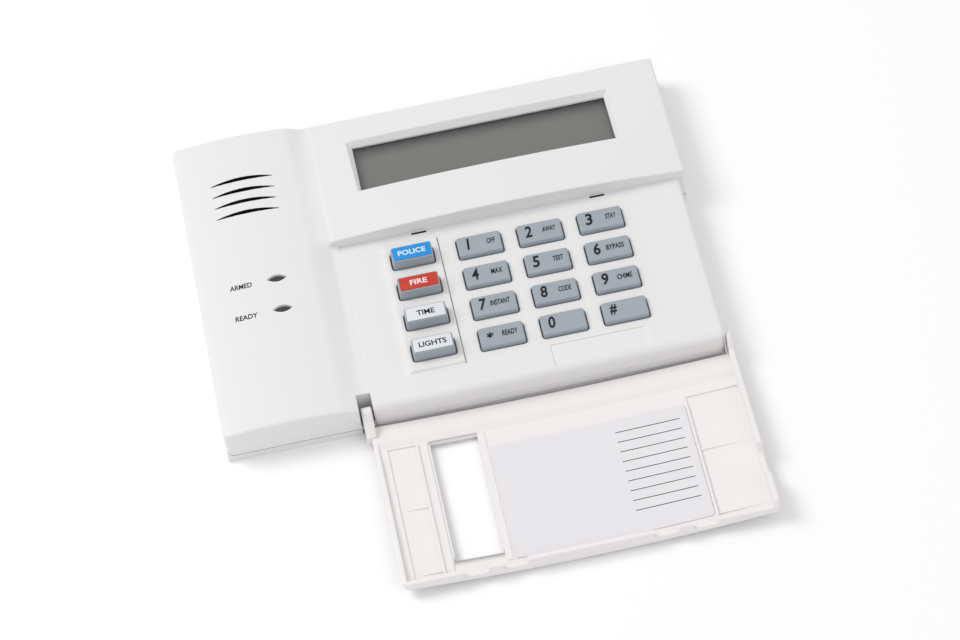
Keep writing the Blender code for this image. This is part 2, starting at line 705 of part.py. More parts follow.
def cut_case_cavity(case):
    """Hollow the case from behind, leaving its wall."""
    below = CASE_BACK_Z - CUT_MARGIN
    inner_top = TOP - WALL
    wing = arched_block(
        "wing_cavity",
        (LEFT + WALL, WING_RIGHT_X - WALL),
        (BOTTOM + WALL, inner_top),
        flat(below),
        lowered(wing_top, WALL),
    )
    display = arched_block(
        "display_cavity",
        (DISPLAY_LEFT_X + WALL, RIGHT - WALL),
        (DISPLAY_BOTTOM_Y + WALL, inner_top),
        flat(below),
        lowered(display_top, WALL),
    )
    hinge_wall_y = HINGE_Y + PEG_RADIUS + GAP + PEG_BACKING
    keys = box(
        "key_cavity",
        (KEYS_LEFT_X + WALL, hinge_wall_y, below),
        (KEYS_RIGHT_X - WALL, DISPLAY_BOTTOM_Y + WALL * 2, DECK_INNER_Z),
    )
    link = box(
        "link_cavity",
        (WING_RIGHT_X - WALL * 1.5, NOTCH_TOP_Y + WALL, below),
        (KEYS_LEFT_X + WALL * 1.5, inner_top, LINK_Z - WALL + SLIM_GAP),
    )
    for cavity in (wing, display, keys, link):
        cut(case, cavity)


def cut_display_view(case):
    """Add the funnel that holds the display lens, then cut its view and lens seat."""
    outer = grown(VIEW_SIZE, LENS_MARGIN + WALL)
    funnel = centred_box("funnel", (0.0, 0.0), outer, LENS_TOP - LENS_THICK, FUNNEL_LAP)
    top_size = (VIEW_SIZE[0] + 2 * CHAMFER_SIDE, VIEW_SIZE[1] + 2 * CHAMFER_TOP)
    view = centred_box("view_cut", (0.0, 0.0), (1.0, 1.0), 0.0, CHAMFER_SIDE)
    for vert in view.data.vertices:
        size = top_size if vert.co.z > CHAMFER_SIDE / 2 else VIEW_SIZE
        vert.co.x *= size[0]
        vert.co.y *= size[1]
    hole = centred_box("view_hole", (0.0, 0.0), VIEW_SIZE, -VIEW_LEDGE - CUT_MARGIN, FUNNEL_LAP / 2)
    seat_size = grown(VIEW_SIZE, LENS_MARGIN + GAP)
    seat = centred_box("lens_seat", (0.0, 0.0), seat_size, LENS_TOP - LENS_THICK - CUT_MARGIN, -VIEW_LEDGE)
    lay_in_display([funnel, view, hole, seat])
    join(case, funnel)
    for cutter in (view, hole, seat):
        cut(case, cutter)


def cut_case_openings(case):
    """Key openings, latch slots, light and sounder openings, hinge holes, snap seats."""
    spans = []
    for centre, size in key_openings():
        half_x = size[0] / 2 + GAP
        half_y = size[1] / 2 + GAP
        spans.append(
            (
                (centre[0] - half_x, centre[1] - half_y, DECK_INNER_Z - CUT_MARGIN),
                (centre[0] + half_x, centre[1] + half_y, PLATEAU_Z + CUT_MARGIN),
            )
        )
    for x in NIB_CENTRES_X:
        spans.append(
            (
                (
                    x - NIB_SIZE[0] / 2 - GAP,
                    nib_centre_y() - NIB_SIZE[1] / 2 - 1.5 * GAP,
                    DECK_INNER_Z - CUT_MARGIN,
                ),
                (x + NIB_SIZE[0] / 2 + GAP, nib_centre_y() + NIB_SIZE[1] / 2 + 1.5 * GAP, DECK_Z + GAP),
            )
        )
    cut(case, boxes("key_and_latch_openings", spans))
    lights = [light_outline(y, GAP) for y in LIGHT_YS]
    first_slit = SOUNDER_CENTRE[1] + SLIT_PITCH * (SLIT_COUNT - 1) / 2
    slits = [
        crescent((SOUNDER_CENTRE[0], first_slit - SLIT_PITCH * index), SLIT_LENGTH, *SLIT_RISE)
        for index in range(SLIT_COUNT)
    ]
    wing_high = WING_EDGE_Z + WING_RISE + WING_ARCH + CUT_MARGIN
    openings_low = DECK_INNER_Z - CUT_MARGIN
    cut(case, outline_plate("light_and_sounder_openings", lights + slits, openings_low, wing_high))
    hole_radius = PEG_RADIUS + GAP
    depth = PEG_DEPTH + GAP + CUT_MARGIN
    left = rod("left_peg_hole", (KEYS_LEFT_X - CUT_MARGIN, HINGE_Y, HINGE_Z), (1, 0, 0), depth, hole_radius)
    right_start = (KEYS_RIGHT_X + CUT_MARGIN, HINGE_Y, HINGE_Z)
    right = rod("right_peg_hole", right_start, (-1, 0, 0), depth, hole_radius)
    for cutter in (left, right):
        cut(case, cutter)
    cut(case, boxes("snap_seats", [snap_nose_span(place, GAP) for place in snap_places()]))


def add_case_posts(case):
    """Screw posts for both boards and the ring that holds the sounder."""
    for index, (x, y) in enumerate(board_screw_places()):
        ceiling = wing_top(x, y) if x < WING_RIGHT_X else DECK_Z
        length = ceiling - WALL / 2 - BOARD_TOP_Z - GAP
        post = rod(f"board_post_{index}", (x, y, BOARD_TOP_Z + GAP), (0, 0, 1), length, POST_RADIUS)
        join(case, post)
        cut(case, screw_hole(f"board_pilot_{index}", (x, y), BOARD_TOP_Z))
    for index, (x, y) in enumerate(lcd_screw_places()):
        reach = display_top(GLASS_CENTRE[0] + x, GLASS_CENTRE[1] + y) - WALL / 2
        length = (reach - VIEW_Z) / math.cos(FACE_TILT) + y * math.tan(FACE_TILT) - LCD_BOARD_TOP - GAP
        post = rod(f"lcd_post_{index}", (x, y, LCD_BOARD_TOP + GAP), (0, 0, 1), length, POST_RADIUS)
        pilot = screw_hole(f"lcd_pilot_{index}", (x, y), LCD_BOARD_TOP)
        lay_in_display([post, pilot])
        join(case, post)
        cut(case, pilot)
    outer = SOUNDER_RADIUS + GAP + RING_WALL
    ceiling = wing_top(*SOUNDER_CENTRE) - WALL / 2
    ring_start = (*SOUNDER_CENTRE, sounder_base())
    ring = rod("sounder_ring", ring_start, (0, 0, 1), ceiling - sounder_base(), outer, 32)
    bore = rod(
        "sounder_bore",
        (*SOUNDER_CENTRE, sounder_base() - CUT_MARGIN),
        (0, 0, 1),
        CUT_MARGIN + SOUNDER_THICK + GAP,
        SOUNDER_RADIUS + GAP,
        32,
    )
    cut(ring, bore)
    mouth = rod(
        "sounder_mouth",
        (*SOUNDER_CENTRE, sounder_base()),
        (0, 0, 1),
        ceiling - sounder_base() - WALL / 2,
        SOUNDER_RADIUS - RING_WALL,
        32,
    )
    cut(ring, mouth)
    join(case, ring)


def sounder_base():
    """Height of the sounder's lower face."""
    edge = wing_top(SOUNDER_CENTRE[0] + SOUNDER_RADIUS, SOUNDER_CENTRE[1] - SOUNDER_RADIUS)
    return edge - WALL - SOUNDER_CLEAR - SOUNDER_THICK


def screw_hole(name, place, board_top):
    """Pilot hole for a board screw, open at the post's end."""
    start = (*place, board_top - CUT_MARGIN)
    return rod(name, start, (0, 0, 1), CUT_MARGIN + SCREW_LENGTH - BOARD_THICK + GAP, SCREW_SHANK + GAP)


def build_front_case():
    """The one-piece front case: wing, display section and key deck."""
    case = arched_block("front_case", (LEFT, WING_RIGHT_X), (BOTTOM, TOP), flat(CASE_BACK_Z), wing_top)
    round_edges(case, EDGE_ROUND)
    add_case_blocks(case)
    cut_case_cavity(case)
    add_case_posts(case)
    cut_display_view(case)
    cut_case_openings(case)
    keep(case, "white_plastic")


# ---------------------------------------------------------------- door


def nib_centre_y():
    """Where the door's latch nibs stand when it is shut."""
    return DOOR_FREE_Y - NIB_SIZE[1] / 2 - NIB_SETBACK


def build_door_ear(door, side):
    """One hinge ear with its peg; side is -1 for the left ear and 1 for the right."""
    if side < 0:
        inner = KEYS_LEFT_X - 2 * GAP
        outer = WING_RIGHT_X + 2.5 * GAP
    else:
        inner = KEYS_RIGHT_X + 1.5 * GAP
        outer = DOOR_RIGHT_X
    low_x = min(inner, outer)
    width = abs(outer - inner)
    name = "left" if side < 0 else "right"
    knuckle = rod(f"{name}_knuckle", (low_x, HINGE_Y, HINGE_Z), (1, 0, 0), width, KNUCKLE_RADIUS)
    arm = box(
        f"{name}_arm",
        (low_x, HINGE_Y - EAR_BELOW, HINGE_Z),
        (low_x + width, NOTCH_TOP_Y - 2.5 * GAP, door_top(inner, DOOR_HINGE_END_Y) - DOOR_WALL),
    )
    body_end = KEYS_LEFT_X if side < 0 else KEYS_RIGHT_X
    peg_length = PEG_DEPTH + abs(body_end - inner) + DOOR_WALL / 2
    start = (inner + side * DOOR_WALL / 2, HINGE_Y, HINGE_Z)
    peg = rod(f"{name}_peg", start, (-side, 0, 0), peg_length, PEG_RADIUS)
    for piece in (knuckle, arm, peg):
        join(door, piece)
    return [knuckle, arm, peg]


def door_window_span():
    """Low and high corner in X and Y of the opening for the function keys."""
    half_x = FUNCTION_SIZE[0] / 2 + WINDOW_CLEARANCE
    half_y = FUNCTION_SIZE[1] / 2 + WINDOW_CLEARANCE
    top = function_centre(0)[1] + half_y
    bottom = function_centre(KEY_ROWS - 1)[1] - half_y
    return (FUNCTION_X - half_x, bottom), (FUNCTION_X + half_x, top)


def door_rib(name, x_span, y_span, height):
    """A low rib that hangs from the shut door's inner face."""
    return arched_block(
        name, x_span, y_span, lowered(door_top, DOOR_WALL + height), lowered(door_top, DOOR_WALL / 2), 8
    )


def card_spans():
    """X and Y spans of the instruction card."""
    left = door_window_span()[1][0] + CARD_INSET[0]
    top = DOOR_FREE_Y - CARD_INSET[1]
    return (left, left + CARD_SIZE[0]), (top - CARD_SIZE[1], top)


def build_door():
    """The flip-down door, built shut and then turned open on its hinge."""
    x_span = (DOOR_LEFT_X, DOOR_RIGHT_X)
    door = arched_block("door", x_span, (DOOR_HINGE_END_Y, DOOR_FREE_Y), flat(DOOR_RIM_Z), door_top, 18)
    round_edges(door, EDGE_ROUND * 0.8)
    before_hinge = DOOR_HINGE_END_Y - CUT_MARGIN * 3
    hollow = arched_block(
        "door_hollow",
        (DOOR_LEFT_X + DOOR_WALL, DOOR_RIGHT_X - DOOR_SIDE_WALL),
        (before_hinge, DOOR_FREE_Y - DOOR_WALL),
        flat(DOOR_RIM_Z - CUT_MARGIN),
        lowered(door_top, DOOR_WALL),
        18,
    )
    trim = box(
        "door_trim",
        (DOOR_LEFT_X - CUT_MARGIN, before_hinge, DOOR_RIM_Z - CUT_MARGIN),
        (DOOR_RIGHT_X - DOOR_SIDE_WALL, DOOR_FREE_Y + CUT_MARGIN, DECK_Z + GAP),
    )
    grip = box(
        "finger_grip",
        (DOOR_RIGHT_X - DOOR_SIDE_WALL - CUT_MARGIN, GRIP_Y[0], DOOR_RIM_Z - CUT_MARGIN),
        (DOOR_RIGHT_X + CUT_MARGIN, GRIP_Y[1], DOOR_RIM_Z + GRIP_RISE),
    )
    cutters = [hollow, trim, grip]
    for cutter in cutters:
        cut(door, cutter)
    (card_x, card_y) = card_spans()
    window_low, window_high = door_window_span()
    window_rib_x = tuple(window_low[0] - inset for inset in reversed(WINDOW_RIB_INSET))
    rib_x = (card_x[1] + GAP, card_x[1] + GAP + RIB_WIDTH)
    rib_y = (card_y[0] - GAP - RIB_WIDTH, card_y[0] - GAP)
    ribs = [
        door_rib("card_rib_hinge", card_x, rib_y, RIB_HEIGHT),
        door_rib("card_rib_right", rib_x, card_y, RIB_HEIGHT),
        door_rib("window_rib", window_rib_x, (window_low[1], DOOR_FREE_Y), WINDOW_RIB_HEIGHT),
    ]
    nibs = boxes(
        "latch_nibs",
        [
            (
                (x - NIB_SIZE[0] / 2, nib_centre_y() - NIB_SIZE[1] / 2, DECK_Z + GAP - NIB_SIZE[2]),
                (x + NIB_SIZE[0] / 2, nib_centre_y() + NIB_SIZE[1] / 2, DECK_Z + GAP + DOOR_WALL),
            )
            for x in NIB_CENTRES_X
        ],
    )
    additions = ribs + [nibs]
    for piece in additions:
        join(door, piece)
    ears = build_door_ear(door, -1) + build_door_ear(door, 1)
    window = box(
        "function_window",
        (window_low[0], window_low[1], DECK_Z),
        (window_high[0], window_high[1], DOOR_FREE_Z + CUT_MARGIN),
    )
    cut(door, window)
    card = arched_block(
        "instruction_card",
        card_x,
        card_y,
        lowered(door_top, DOOR_WALL + CARD_GAP + CARD_THICK),
        lowered(door_top, DOOR_WALL + CARD_GAP),
        12,
    )
    keep(door, "white_plastic")
    keep(card, "paper")
    hinge = bpy.data.objects.new("door_hinge", None)
    PARTS.objects.link(hinge)
    hinge.location = (0.0, HINGE_Y, HINGE_Z)
    hinge.rotation_euler.x = math.radians(OPEN_ANGLE)
    for item in [door, card, window, *cutters, *additions, *ears]:
        set_origin(item, (0.0, HINGE_Y, HINGE_Z))
        item.parent = hinge
        item.location = (0.0, 0.0, 0.0)


# ---------------------------------------------------------------- keys


def build_key(name, centre, size, top_z):
    """A key: its cap through the case and the flange that stops it under the deck."""
    flange_top = DECK_INNER_Z - GAP
    key = centred_box(name, centre, size, KEY_BASE_Z + KEY_FLANGE_THICK / 2, top_z)
    round_edges(key, KEY_ROUND)
    flange = centred_box(name + "_flange", centre, grown(size, KEY_FLANGE), KEY_BASE_Z, flange_top)
    join(key, flange)
    keep(key, "key_grey")
    for piece in (key, flange):
        set_origin(piece, (*centre, KEY_BASE_Z))


def build_keys():
    """All twelve main keys and the four function keys with their stickers."""
    for name, place in MAIN_KEYS.items():
        build_key(name, key_centre(*place), KEY_SIZE, KEY_TOP_Z)
    for name, (row, label) in FUNCTION_KEYS.items():
        centre = function_centre(row)
        build_key(name, centre, FUNCTION_SIZE, FUNCTION_TOP_Z)
        low = FUNCTION_TOP_Z + STICKER_GAP
        size = grown(FUNCTION_SIZE, -STICKER_INSET)
        sticker = centred_box(name.replace("key", "sticker"), centre, size, low, low + STICKER_THICK)
        keep(sticker, label)
        set_origin(sticker, (*centre, KEY_BASE_Z))


def build_keypad_mat():
    """The silicone mat on the board, with a well for each key."""
    openings = key_openings()
    left = min(centre[0] - size[0] / 2 for centre, size in openings) - KEY_FLANGE - MAT_MARGIN
    right = max(centre[0] + size[0] / 2 for centre, size in openings) + KEY_FLANGE + MAT_MARGIN
    bottom = min(centre[1] - size[1] / 2 for centre, size in openings) - KEY_FLANGE - MAT_MARGIN
    top = max(centre[1] + size[1] / 2 for centre, size in openings) + KEY_FLANGE + MAT_MARGIN
    outline = [(left, bottom), (right, bottom), (right, top), (left, top)]
    wells = [rectangle(centre, grown(size, KEY_FLANGE + GAP)) for centre, size in openings]
    low = BOARD_TOP_Z + GAP
    keep(outline_plate("keypad_mat", [outline, *wells], low, low + MAT_THICK), "silicone")


# ---------------------------------------------------------------- boards and electronics


def build_screw(name, place, board_top):
    """A pan-head screw up through a board, its head under the board."""
    radius, thick = SCREW_HEAD
    under = board_top - BOARD_THICK - GAP
    screw = rod(name, (*place, under - thick), (0, 0, 1), thick, radius)
    shank_length = thick / 2 + SCREW_LENGTH
    shank = rod(
        name + "_shank", (*place, under - thick / 2), (0, 0, 1), shank_length, SCREW_SHANK, 12
    )
    join(screw, shank)
    keep(screw, "steel")
    return [screw, shank]


def build_main_board():
    """The main circuit board, its four screws and the parts soldered to it."""
    centre = ((BOARD_LEFT_X + BOARD_RIGHT_X) / 2, (BOARD_BOTTOM_Y + BOARD_TOP_Y) / 2)
    size = (BOARD_RIGHT_X - BOARD_LEFT_X, BOARD_TOP_Y - BOARD_BOTTOM_Y)
    holes = [circle(place, SCREW_SHANK + GAP, 12) for place in board_screw_places()]
    under = BOARD_TOP_Z - BOARD_THICK
    board = outline_plate("main_board", [rectangle(centre, size), *holes], under, BOARD_TOP_Z)
    keep(board, "board_green")
    for index, place in enumerate(board_screw_places()):
        build_screw(f"board_screw_{index + 1}", place, BOARD_TOP_Z)
    face = under - GAP
    chip = centred_box("microcontroller", CHIP_PLACE, CHIP_SIZE[:2], face - CHIP_SIZE[2], face)
    keep(chip, "chip_black")
    crystal = centred_box("crystal", CRYSTAL_PLACE, CRYSTAL_SIZE[:2], face - CRYSTAL_SIZE[2], face)
    round_edges(crystal, CRYSTAL_ROUND)
    keep(crystal, "steel")
    capacitor_low = PLATE_FLOOR + CAPACITOR_CLEAR
    start = (CAPACITOR_PLACE[0], CAPACITOR_PLACE[1], capacitor_low)
    capacitor = rod("capacitor", start, (0, 0, 1), face - capacitor_low, CAPACITOR_RADIUS)
    keep(capacitor, "chip_black")


def build_terminal_block():
    """The terminal block under the board, standing in the wire opening, with its screws."""
    face = BOARD_TOP_Z - BOARD_THICK - GAP
    x = WIRE_CENTRE[0]
    y = WIRE_CENTRE[1] + WIRE_OPENING[1] / 2 - TERMINAL_SIZE[1] / 2 - GAP * 4
    block = centred_box("terminal_block", (x, y), TERMINAL_SIZE[:2], face - TERMINAL_SIZE[2], face)
    low = face - TERMINAL_SIZE[2]
    well_length = CUT_MARGIN + TERMINAL_WELL
    wells = []
    for index in range(TERMINAL_COUNT):
        place = (x + (index - (TERMINAL_COUNT - 1) / 2) * TERMINAL_PITCH, y)
        start = (*place, low - CUT_MARGIN)
        radius = TERMINAL_SCREW_RADIUS + GAP
        wells.append(rod(f"terminal_well_{index}", start, (0, 0, 1), well_length, radius, 16))
        screw_low = low + TERMINAL_WELL - GAP - TERMINAL_SCREW_THICK
        screw = rod(
            f"terminal_screw_{index + 1}",
            (*place, screw_low),
            (0, 0, 1),
            TERMINAL_SCREW_THICK,
            TERMINAL_SCREW_RADIUS,
            16,
        )
        keep(screw, "steel")
    for well in wells:
        cut(block, well)
    keep(block, "terminal_green")


def build_display_module():
    """Lens, metal frame, glass, backlight and board of the display, with its screws."""
    lens_size = grown(VIEW_SIZE, LENS_MARGIN)
    lens = centred_box("display_lens", (0.0, 0.0), lens_size, LENS_TOP - LENS_THICK, LENS_TOP)
    keep(lens, "clear_plastic")
    frame = centred_box("lcd_frame", (0.0, 0.0), FRAME_SIZE[:2], FRAME_TOP - FRAME_SIZE[2], FRAME_TOP)
    tray_size = grown(FRAME_SIZE, -FRAME_SHEET)
    tray_low = FRAME_TOP - FRAME_SIZE[2] - CUT_MARGIN
    tray = centred_box("frame_tray", (0.0, 0.0), tray_size, tray_low, FRAME_TOP - FRAME_SHEET)
    opening = grown(VIEW_SIZE, FRAME_LEDGE)
    view_low, view_high = FRAME_TOP - CUT_MARGIN, FRAME_TOP + CUT_MARGIN
    view = centred_box("frame_view", (0.0, 0.0), opening, view_low, view_high)
    cut(frame, tray)
    cut(frame, view)
    keep(frame, "steel")
    inside = grown(tray_size, -GAP)
    glass = centred_box("lcd_glass", (0.0, 0.0), inside, LCD_GLASS_TOP - LCD_GLASS_THICK, LCD_GLASS_TOP)
    keep(glass, "lcd_glass")
    backlight = centred_box("backlight", (0.0, 0.0), inside, BACKLIGHT_TOP - BACKLIGHT_THICK, BACKLIGHT_TOP)
    keep(backlight, "diffuser")
    holes = [circle(place, SCREW_SHANK + GAP, 12) for place in lcd_screw_places()]
    board = outline_plate(
        "lcd_board",
        [rectangle((0.0, 0.0), LCD_BOARD_SIZE), *holes],
        LCD_BOARD_TOP - BOARD_THICK,
        LCD_BOARD_TOP,
    )
    keep(board, "board_green")
    pieces = [lens, frame, tray, view, glass, backlight, board]
    for index, place in enumerate(lcd_screw_places()):
        pieces += build_screw(f"lcd_screw_{index + 1}", place, LCD_BOARD_TOP)
    lay_in_display(pieces)


def build_display_jumper():
    """The flat jumper that joins the main board to the display board."""
    board_edge_y = GLASS_CENTRE[1] - LCD_BOARD_SIZE[1] / 2
    board_edge_z = VIEW_Z + LCD_BOARD_TOP + LCD_BOARD_SIZE[1] / 2 * math.sin(FACE_TILT)
    low = (GLASS_CENTRE[0] - JUMPER_WIDTH / 2, BOARD_TOP_Y - JUMPER_LAP, board_edge_z + GAP)
    high_z = board_edge_z + GAP + JUMPER_THICK
    high = (GLASS_CENTRE[0] + JUMPER_WIDTH / 2, board_edge_y + JUMPER_LAP, high_z)
    jumper = box("display_jumper", low, high)
    keep(jumper, "chip_black")


def build_sounder():
    """The piezo sounder in its ring behind the slits."""
    base = sounder_base()
    sounder = rod("sounder", (*SOUNDER_CENTRE, base), (0, 0, 1), SOUNDER_THICK - GAP, SOUNDER_RADIUS, 32)
    keep(sounder, "sounder_black")


def build_lights():
    """The two status lights: an LED on the board and a smoked lens in the wing."""
    for name, y in zip(("armed", "ready"), LIGHT_YS):
        led_top = BOARD_TOP_Z + GAP + LED_SIZE[2]
        led = centred_box(f"{name}_led", (LIGHT_X, y), LED_SIZE[:2], BOARD_TOP_Z + GAP, led_top)
        keep(led, "diffuser")
        top = wing_top(LIGHT_X, y) - LIGHT_RECESS
        lens = outline_plate(f"{name}_lens", [light_outline(y, 0.0)], led_top + GAP, top)
        keep(lens, "smoked_plastic")


clear_scene()
PARTS = new_collection("alarm_keypad_panel")
HELPERS = new_collection("cutters")
build_back_plate()
build_front_case()
build_door()
build_keys()
build_keypad_mat()
build_main_board()
build_terminal_block()
build_display_module()
build_display_jumper()
build_sounder()
build_lights()
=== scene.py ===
"""Looks of an alarm keypad panel with its flip-down door open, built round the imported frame."""

import json
import logging
import math
from collections.abc import Callable
from dataclasses import dataclass, field
from enum import Enum

import bmesh
import bpy
import numpy as np
from mathutils import Matrix, Vector


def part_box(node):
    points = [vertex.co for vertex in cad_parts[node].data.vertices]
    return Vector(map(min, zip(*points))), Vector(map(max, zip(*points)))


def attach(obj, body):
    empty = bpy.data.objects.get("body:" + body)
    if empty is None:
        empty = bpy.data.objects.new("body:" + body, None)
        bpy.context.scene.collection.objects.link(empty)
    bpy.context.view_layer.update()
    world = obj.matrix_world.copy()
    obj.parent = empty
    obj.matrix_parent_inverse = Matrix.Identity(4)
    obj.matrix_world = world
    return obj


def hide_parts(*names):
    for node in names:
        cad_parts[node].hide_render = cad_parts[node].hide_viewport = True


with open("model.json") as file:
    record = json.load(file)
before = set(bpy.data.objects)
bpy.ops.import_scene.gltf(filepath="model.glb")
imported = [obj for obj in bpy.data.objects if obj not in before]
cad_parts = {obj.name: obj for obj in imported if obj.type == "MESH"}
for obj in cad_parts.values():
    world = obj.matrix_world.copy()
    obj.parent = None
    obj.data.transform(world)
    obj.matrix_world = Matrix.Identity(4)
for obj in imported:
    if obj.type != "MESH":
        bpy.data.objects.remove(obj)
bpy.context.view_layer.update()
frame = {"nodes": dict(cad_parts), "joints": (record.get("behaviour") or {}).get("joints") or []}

MM = 0.001
LOG = logging.getLogger("keypad")

# What the frame says about the casing
CASE_LOW, CASE_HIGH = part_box("front_case")
LEFT, BOTTOM, BACK_Z = CASE_LOW
RIGHT, TOP = CASE_HIGH.x, CASE_HIGH.y
DOOR_JOINT = next(joint for joint in frame["joints"] if joint["name"] == "door_hinge")
HINGE = Vector(DOOR_JOINT["pos_m"])
SHUT_ANGLE = math.radians(DOOR_JOINT["range_deg"][1])

# Sections of the casing
WING_RIGHT = LEFT + 49.5 * MM
DISPLAY_LEFT = WING_RIGHT + 2.0 * MM
DISPLAY_BOTTOM = TOP - 59.2 * MM
DECK_LEFT = WING_RIGHT + 5.3 * MM
DECK_RIGHT = RIGHT - 2.5 * MM
NOTCH_TOP = BOTTOM + 7.7 * MM
DECK_Z = 13.6 * MM
WING_EDGE_Z = DECK_Z + 1.0 * MM
WING_RISE = 2.8 * MM
WING_ARCH = 2.0 * MM
DISPLAY_LOW_Z = DECK_Z + 7.0 * MM
DISPLAY_TOP_Z = DECK_Z + 2.1 * MM
DISPLAY_SAG = 3.4 * MM
CROWN_X = 24.0 * MM
CROWN_REACH = RIGHT - CROWN_X
STEP_GAP = 0.03 * MM  # width of the cell that makes an upright wall in a height surface

BodyName = str
Heights = Callable[[np.ndarray, np.ndarray], np.ndarray]


def linear(red: float, green: float, blue: float) -> tuple[float, float, float, float]:
    """Turn a colour on the 0 to 255 screen scale into linear red, green, blue and alpha.

    Args:
        red: red value, 0 to 255.
        green: green value, 0 to 255.
        blue: blue value, 0 to 255.

    Returns:
        The linear colour with an alpha of 1.
    """
    screen = np.array([red, green, blue]) / 255.0
    low = screen / 12.92
    high = ((screen + 0.055) / 1.055) ** 2.4
    return (*np.where(screen <= 0.04045, low, high).tolist(), 1.0)


def smooth(share: np.ndarray) -> np.ndarray:
    """Return 3s^2 - 2s^3 of the share s held between 0 and 1, which starts and ends level."""
    held = np.clip(share, 0.0, 1.0)
    return held * held * (3.0 - 2.0 * held)


def across(x: np.ndarray) -> np.ndarray:
    """Return the square of the distance from the crown line over the crown's reach."""
    return ((x - CROWN_X) / CROWN_REACH) ** 2


def display_face(x: np.ndarray, y: np.ndarray) -> np.ndarray:
    """Height of the display's face: straight in y from the sagging lower edge to the top edge.

    Args:
        x: places along the panel.
        y: places up the panel.

    Returns:
        low + (top - low) * share, where low falls with the square of the distance from the crown.
    """
    low = DISPLAY_LOW_Z - DISPLAY_SAG * across(x)
    return low + (DISPLAY_TOP_Z - low) * (y - DISPLAY_BOTTOM) / (TOP - DISPLAY_BOTTOM)


def wing_face(x: np.ndarray, y: np.ndarray) -> np.ndarray:
    """Height of the wing: an arch across its width, on edges that rise towards the top.

    Args:
        x: places along the panel.
        y: places up the panel.

    Returns:
        The edge height plus rise times the share of the height plus arch times 1 - s^2.
    """
    half = (WING_RIGHT - LEFT) / 2
    share = (y - BOTTOM) / (TOP - BOTTOM)
    arch = 1.0 - ((x - LEFT - half) / half) ** 2
    return WING_EDGE_Z + WING_RISE * share + WING_ARCH * np.maximum(arch, -0.3)


class Value:
    """A shader socket with arithmetic, so that maths nodes read like a formula."""

    def __init__(self, graph: "Graph", socket: bpy.types.NodeSocket) -> None:
        """Wrap a socket that belongs to the graph."""
        self.graph = graph
        self.socket = socket

    def maths(self, operation: str, first: object, second: object) -> "Value":
        """Return a Math node of the two values."""
        return self.graph.node("ShaderNodeMath", {0: first, 1: second}, operation=operation)

    def __add__(self, other: object) -> "Value":
        """Return self + other."""
        return self.maths("ADD", self, other)

    def __radd__(self, other: object) -> "Value":
        """Return other + self."""
        return self.maths("ADD", other, self)

    def __sub__(self, other: object) -> "Value":
        """Return self - other."""
        return self.maths("SUBTRACT", self, other)

    def __rsub__(self, other: object) -> "Value":
        """Return other - self."""
        return self.maths("SUBTRACT", other, self)

    def __mul__(self, other: object) -> "Value":
        """Return self * other."""
        return self.maths("MULTIPLY", self, other)

    def __rmul__(self, other: object) -> "Value":
        """Return other * self."""
        return self.maths("MULTIPLY", other, self)

    def __truediv__(self, other: object) -> "Value":
        """Return self / other."""
        return self.maths("DIVIDE", self, other)

    def __rtruediv__(self, other: object) -> "Value":
        """Return other / self."""
        return self.maths("DIVIDE", other, self)

    def __pow__(self, other: object) -> "Value":
        """Return self to the power of other."""
        return self.maths("POWER", self, other)


class Graph:
    """The node tree of one material."""

    def __init__(self, material: bpy.types.Material) -> None:
        """Clear the material's tree and keep it."""
        material.use_nodes = True
        self.tree = material.node_tree
        self.tree.nodes.clear()

    def node(self, kind: str, inputs: dict, output: object = 0, **settings: object) -> Value:
        """Add a node, set its options and fill its inputs.

        Args:
            kind: the node's class name.
            inputs: values, colours or wrapped sockets by input name or index.
            output: name or index of the output to return.
            **settings: options set on the node.

        Returns:
            The wrapped output, whose node is output.socket.node.
        """
        made = self.tree.nodes.new(kind)
        for option, choice in settings.items():
            setattr(made, option, choice)
        for place, content in inputs.items():
            if isinstance(content, Value):
                self.tree.links.new(content.socket, made.inputs[place])
            else:
                made.inputs[place].default_value = content
        return Value(self, made.outputs[output]) if made.outputs else Value(self, None)

    def mix(self, factor: object, first: object, second: object) -> Value:
        """Return a colour mix, first at factor 0 and second at factor 1."""
        inputs = {0: factor, 6: first, 7: second}
        return self.node("ShaderNodeMix", inputs, 2, data_type="RGBA")


class Pattern(Enum):
    """How a finish's grain runs, as the stretch of its noise along X, Y and Z."""

    GRAIN = (1.0, 1.0, 1.0)
    BRUSHED = (0.08, 1.0, 1.0)
    WEAVE = (1.0, 0.35, 1.0)
    FIBRE = (0.5, 1.0, 0.5)


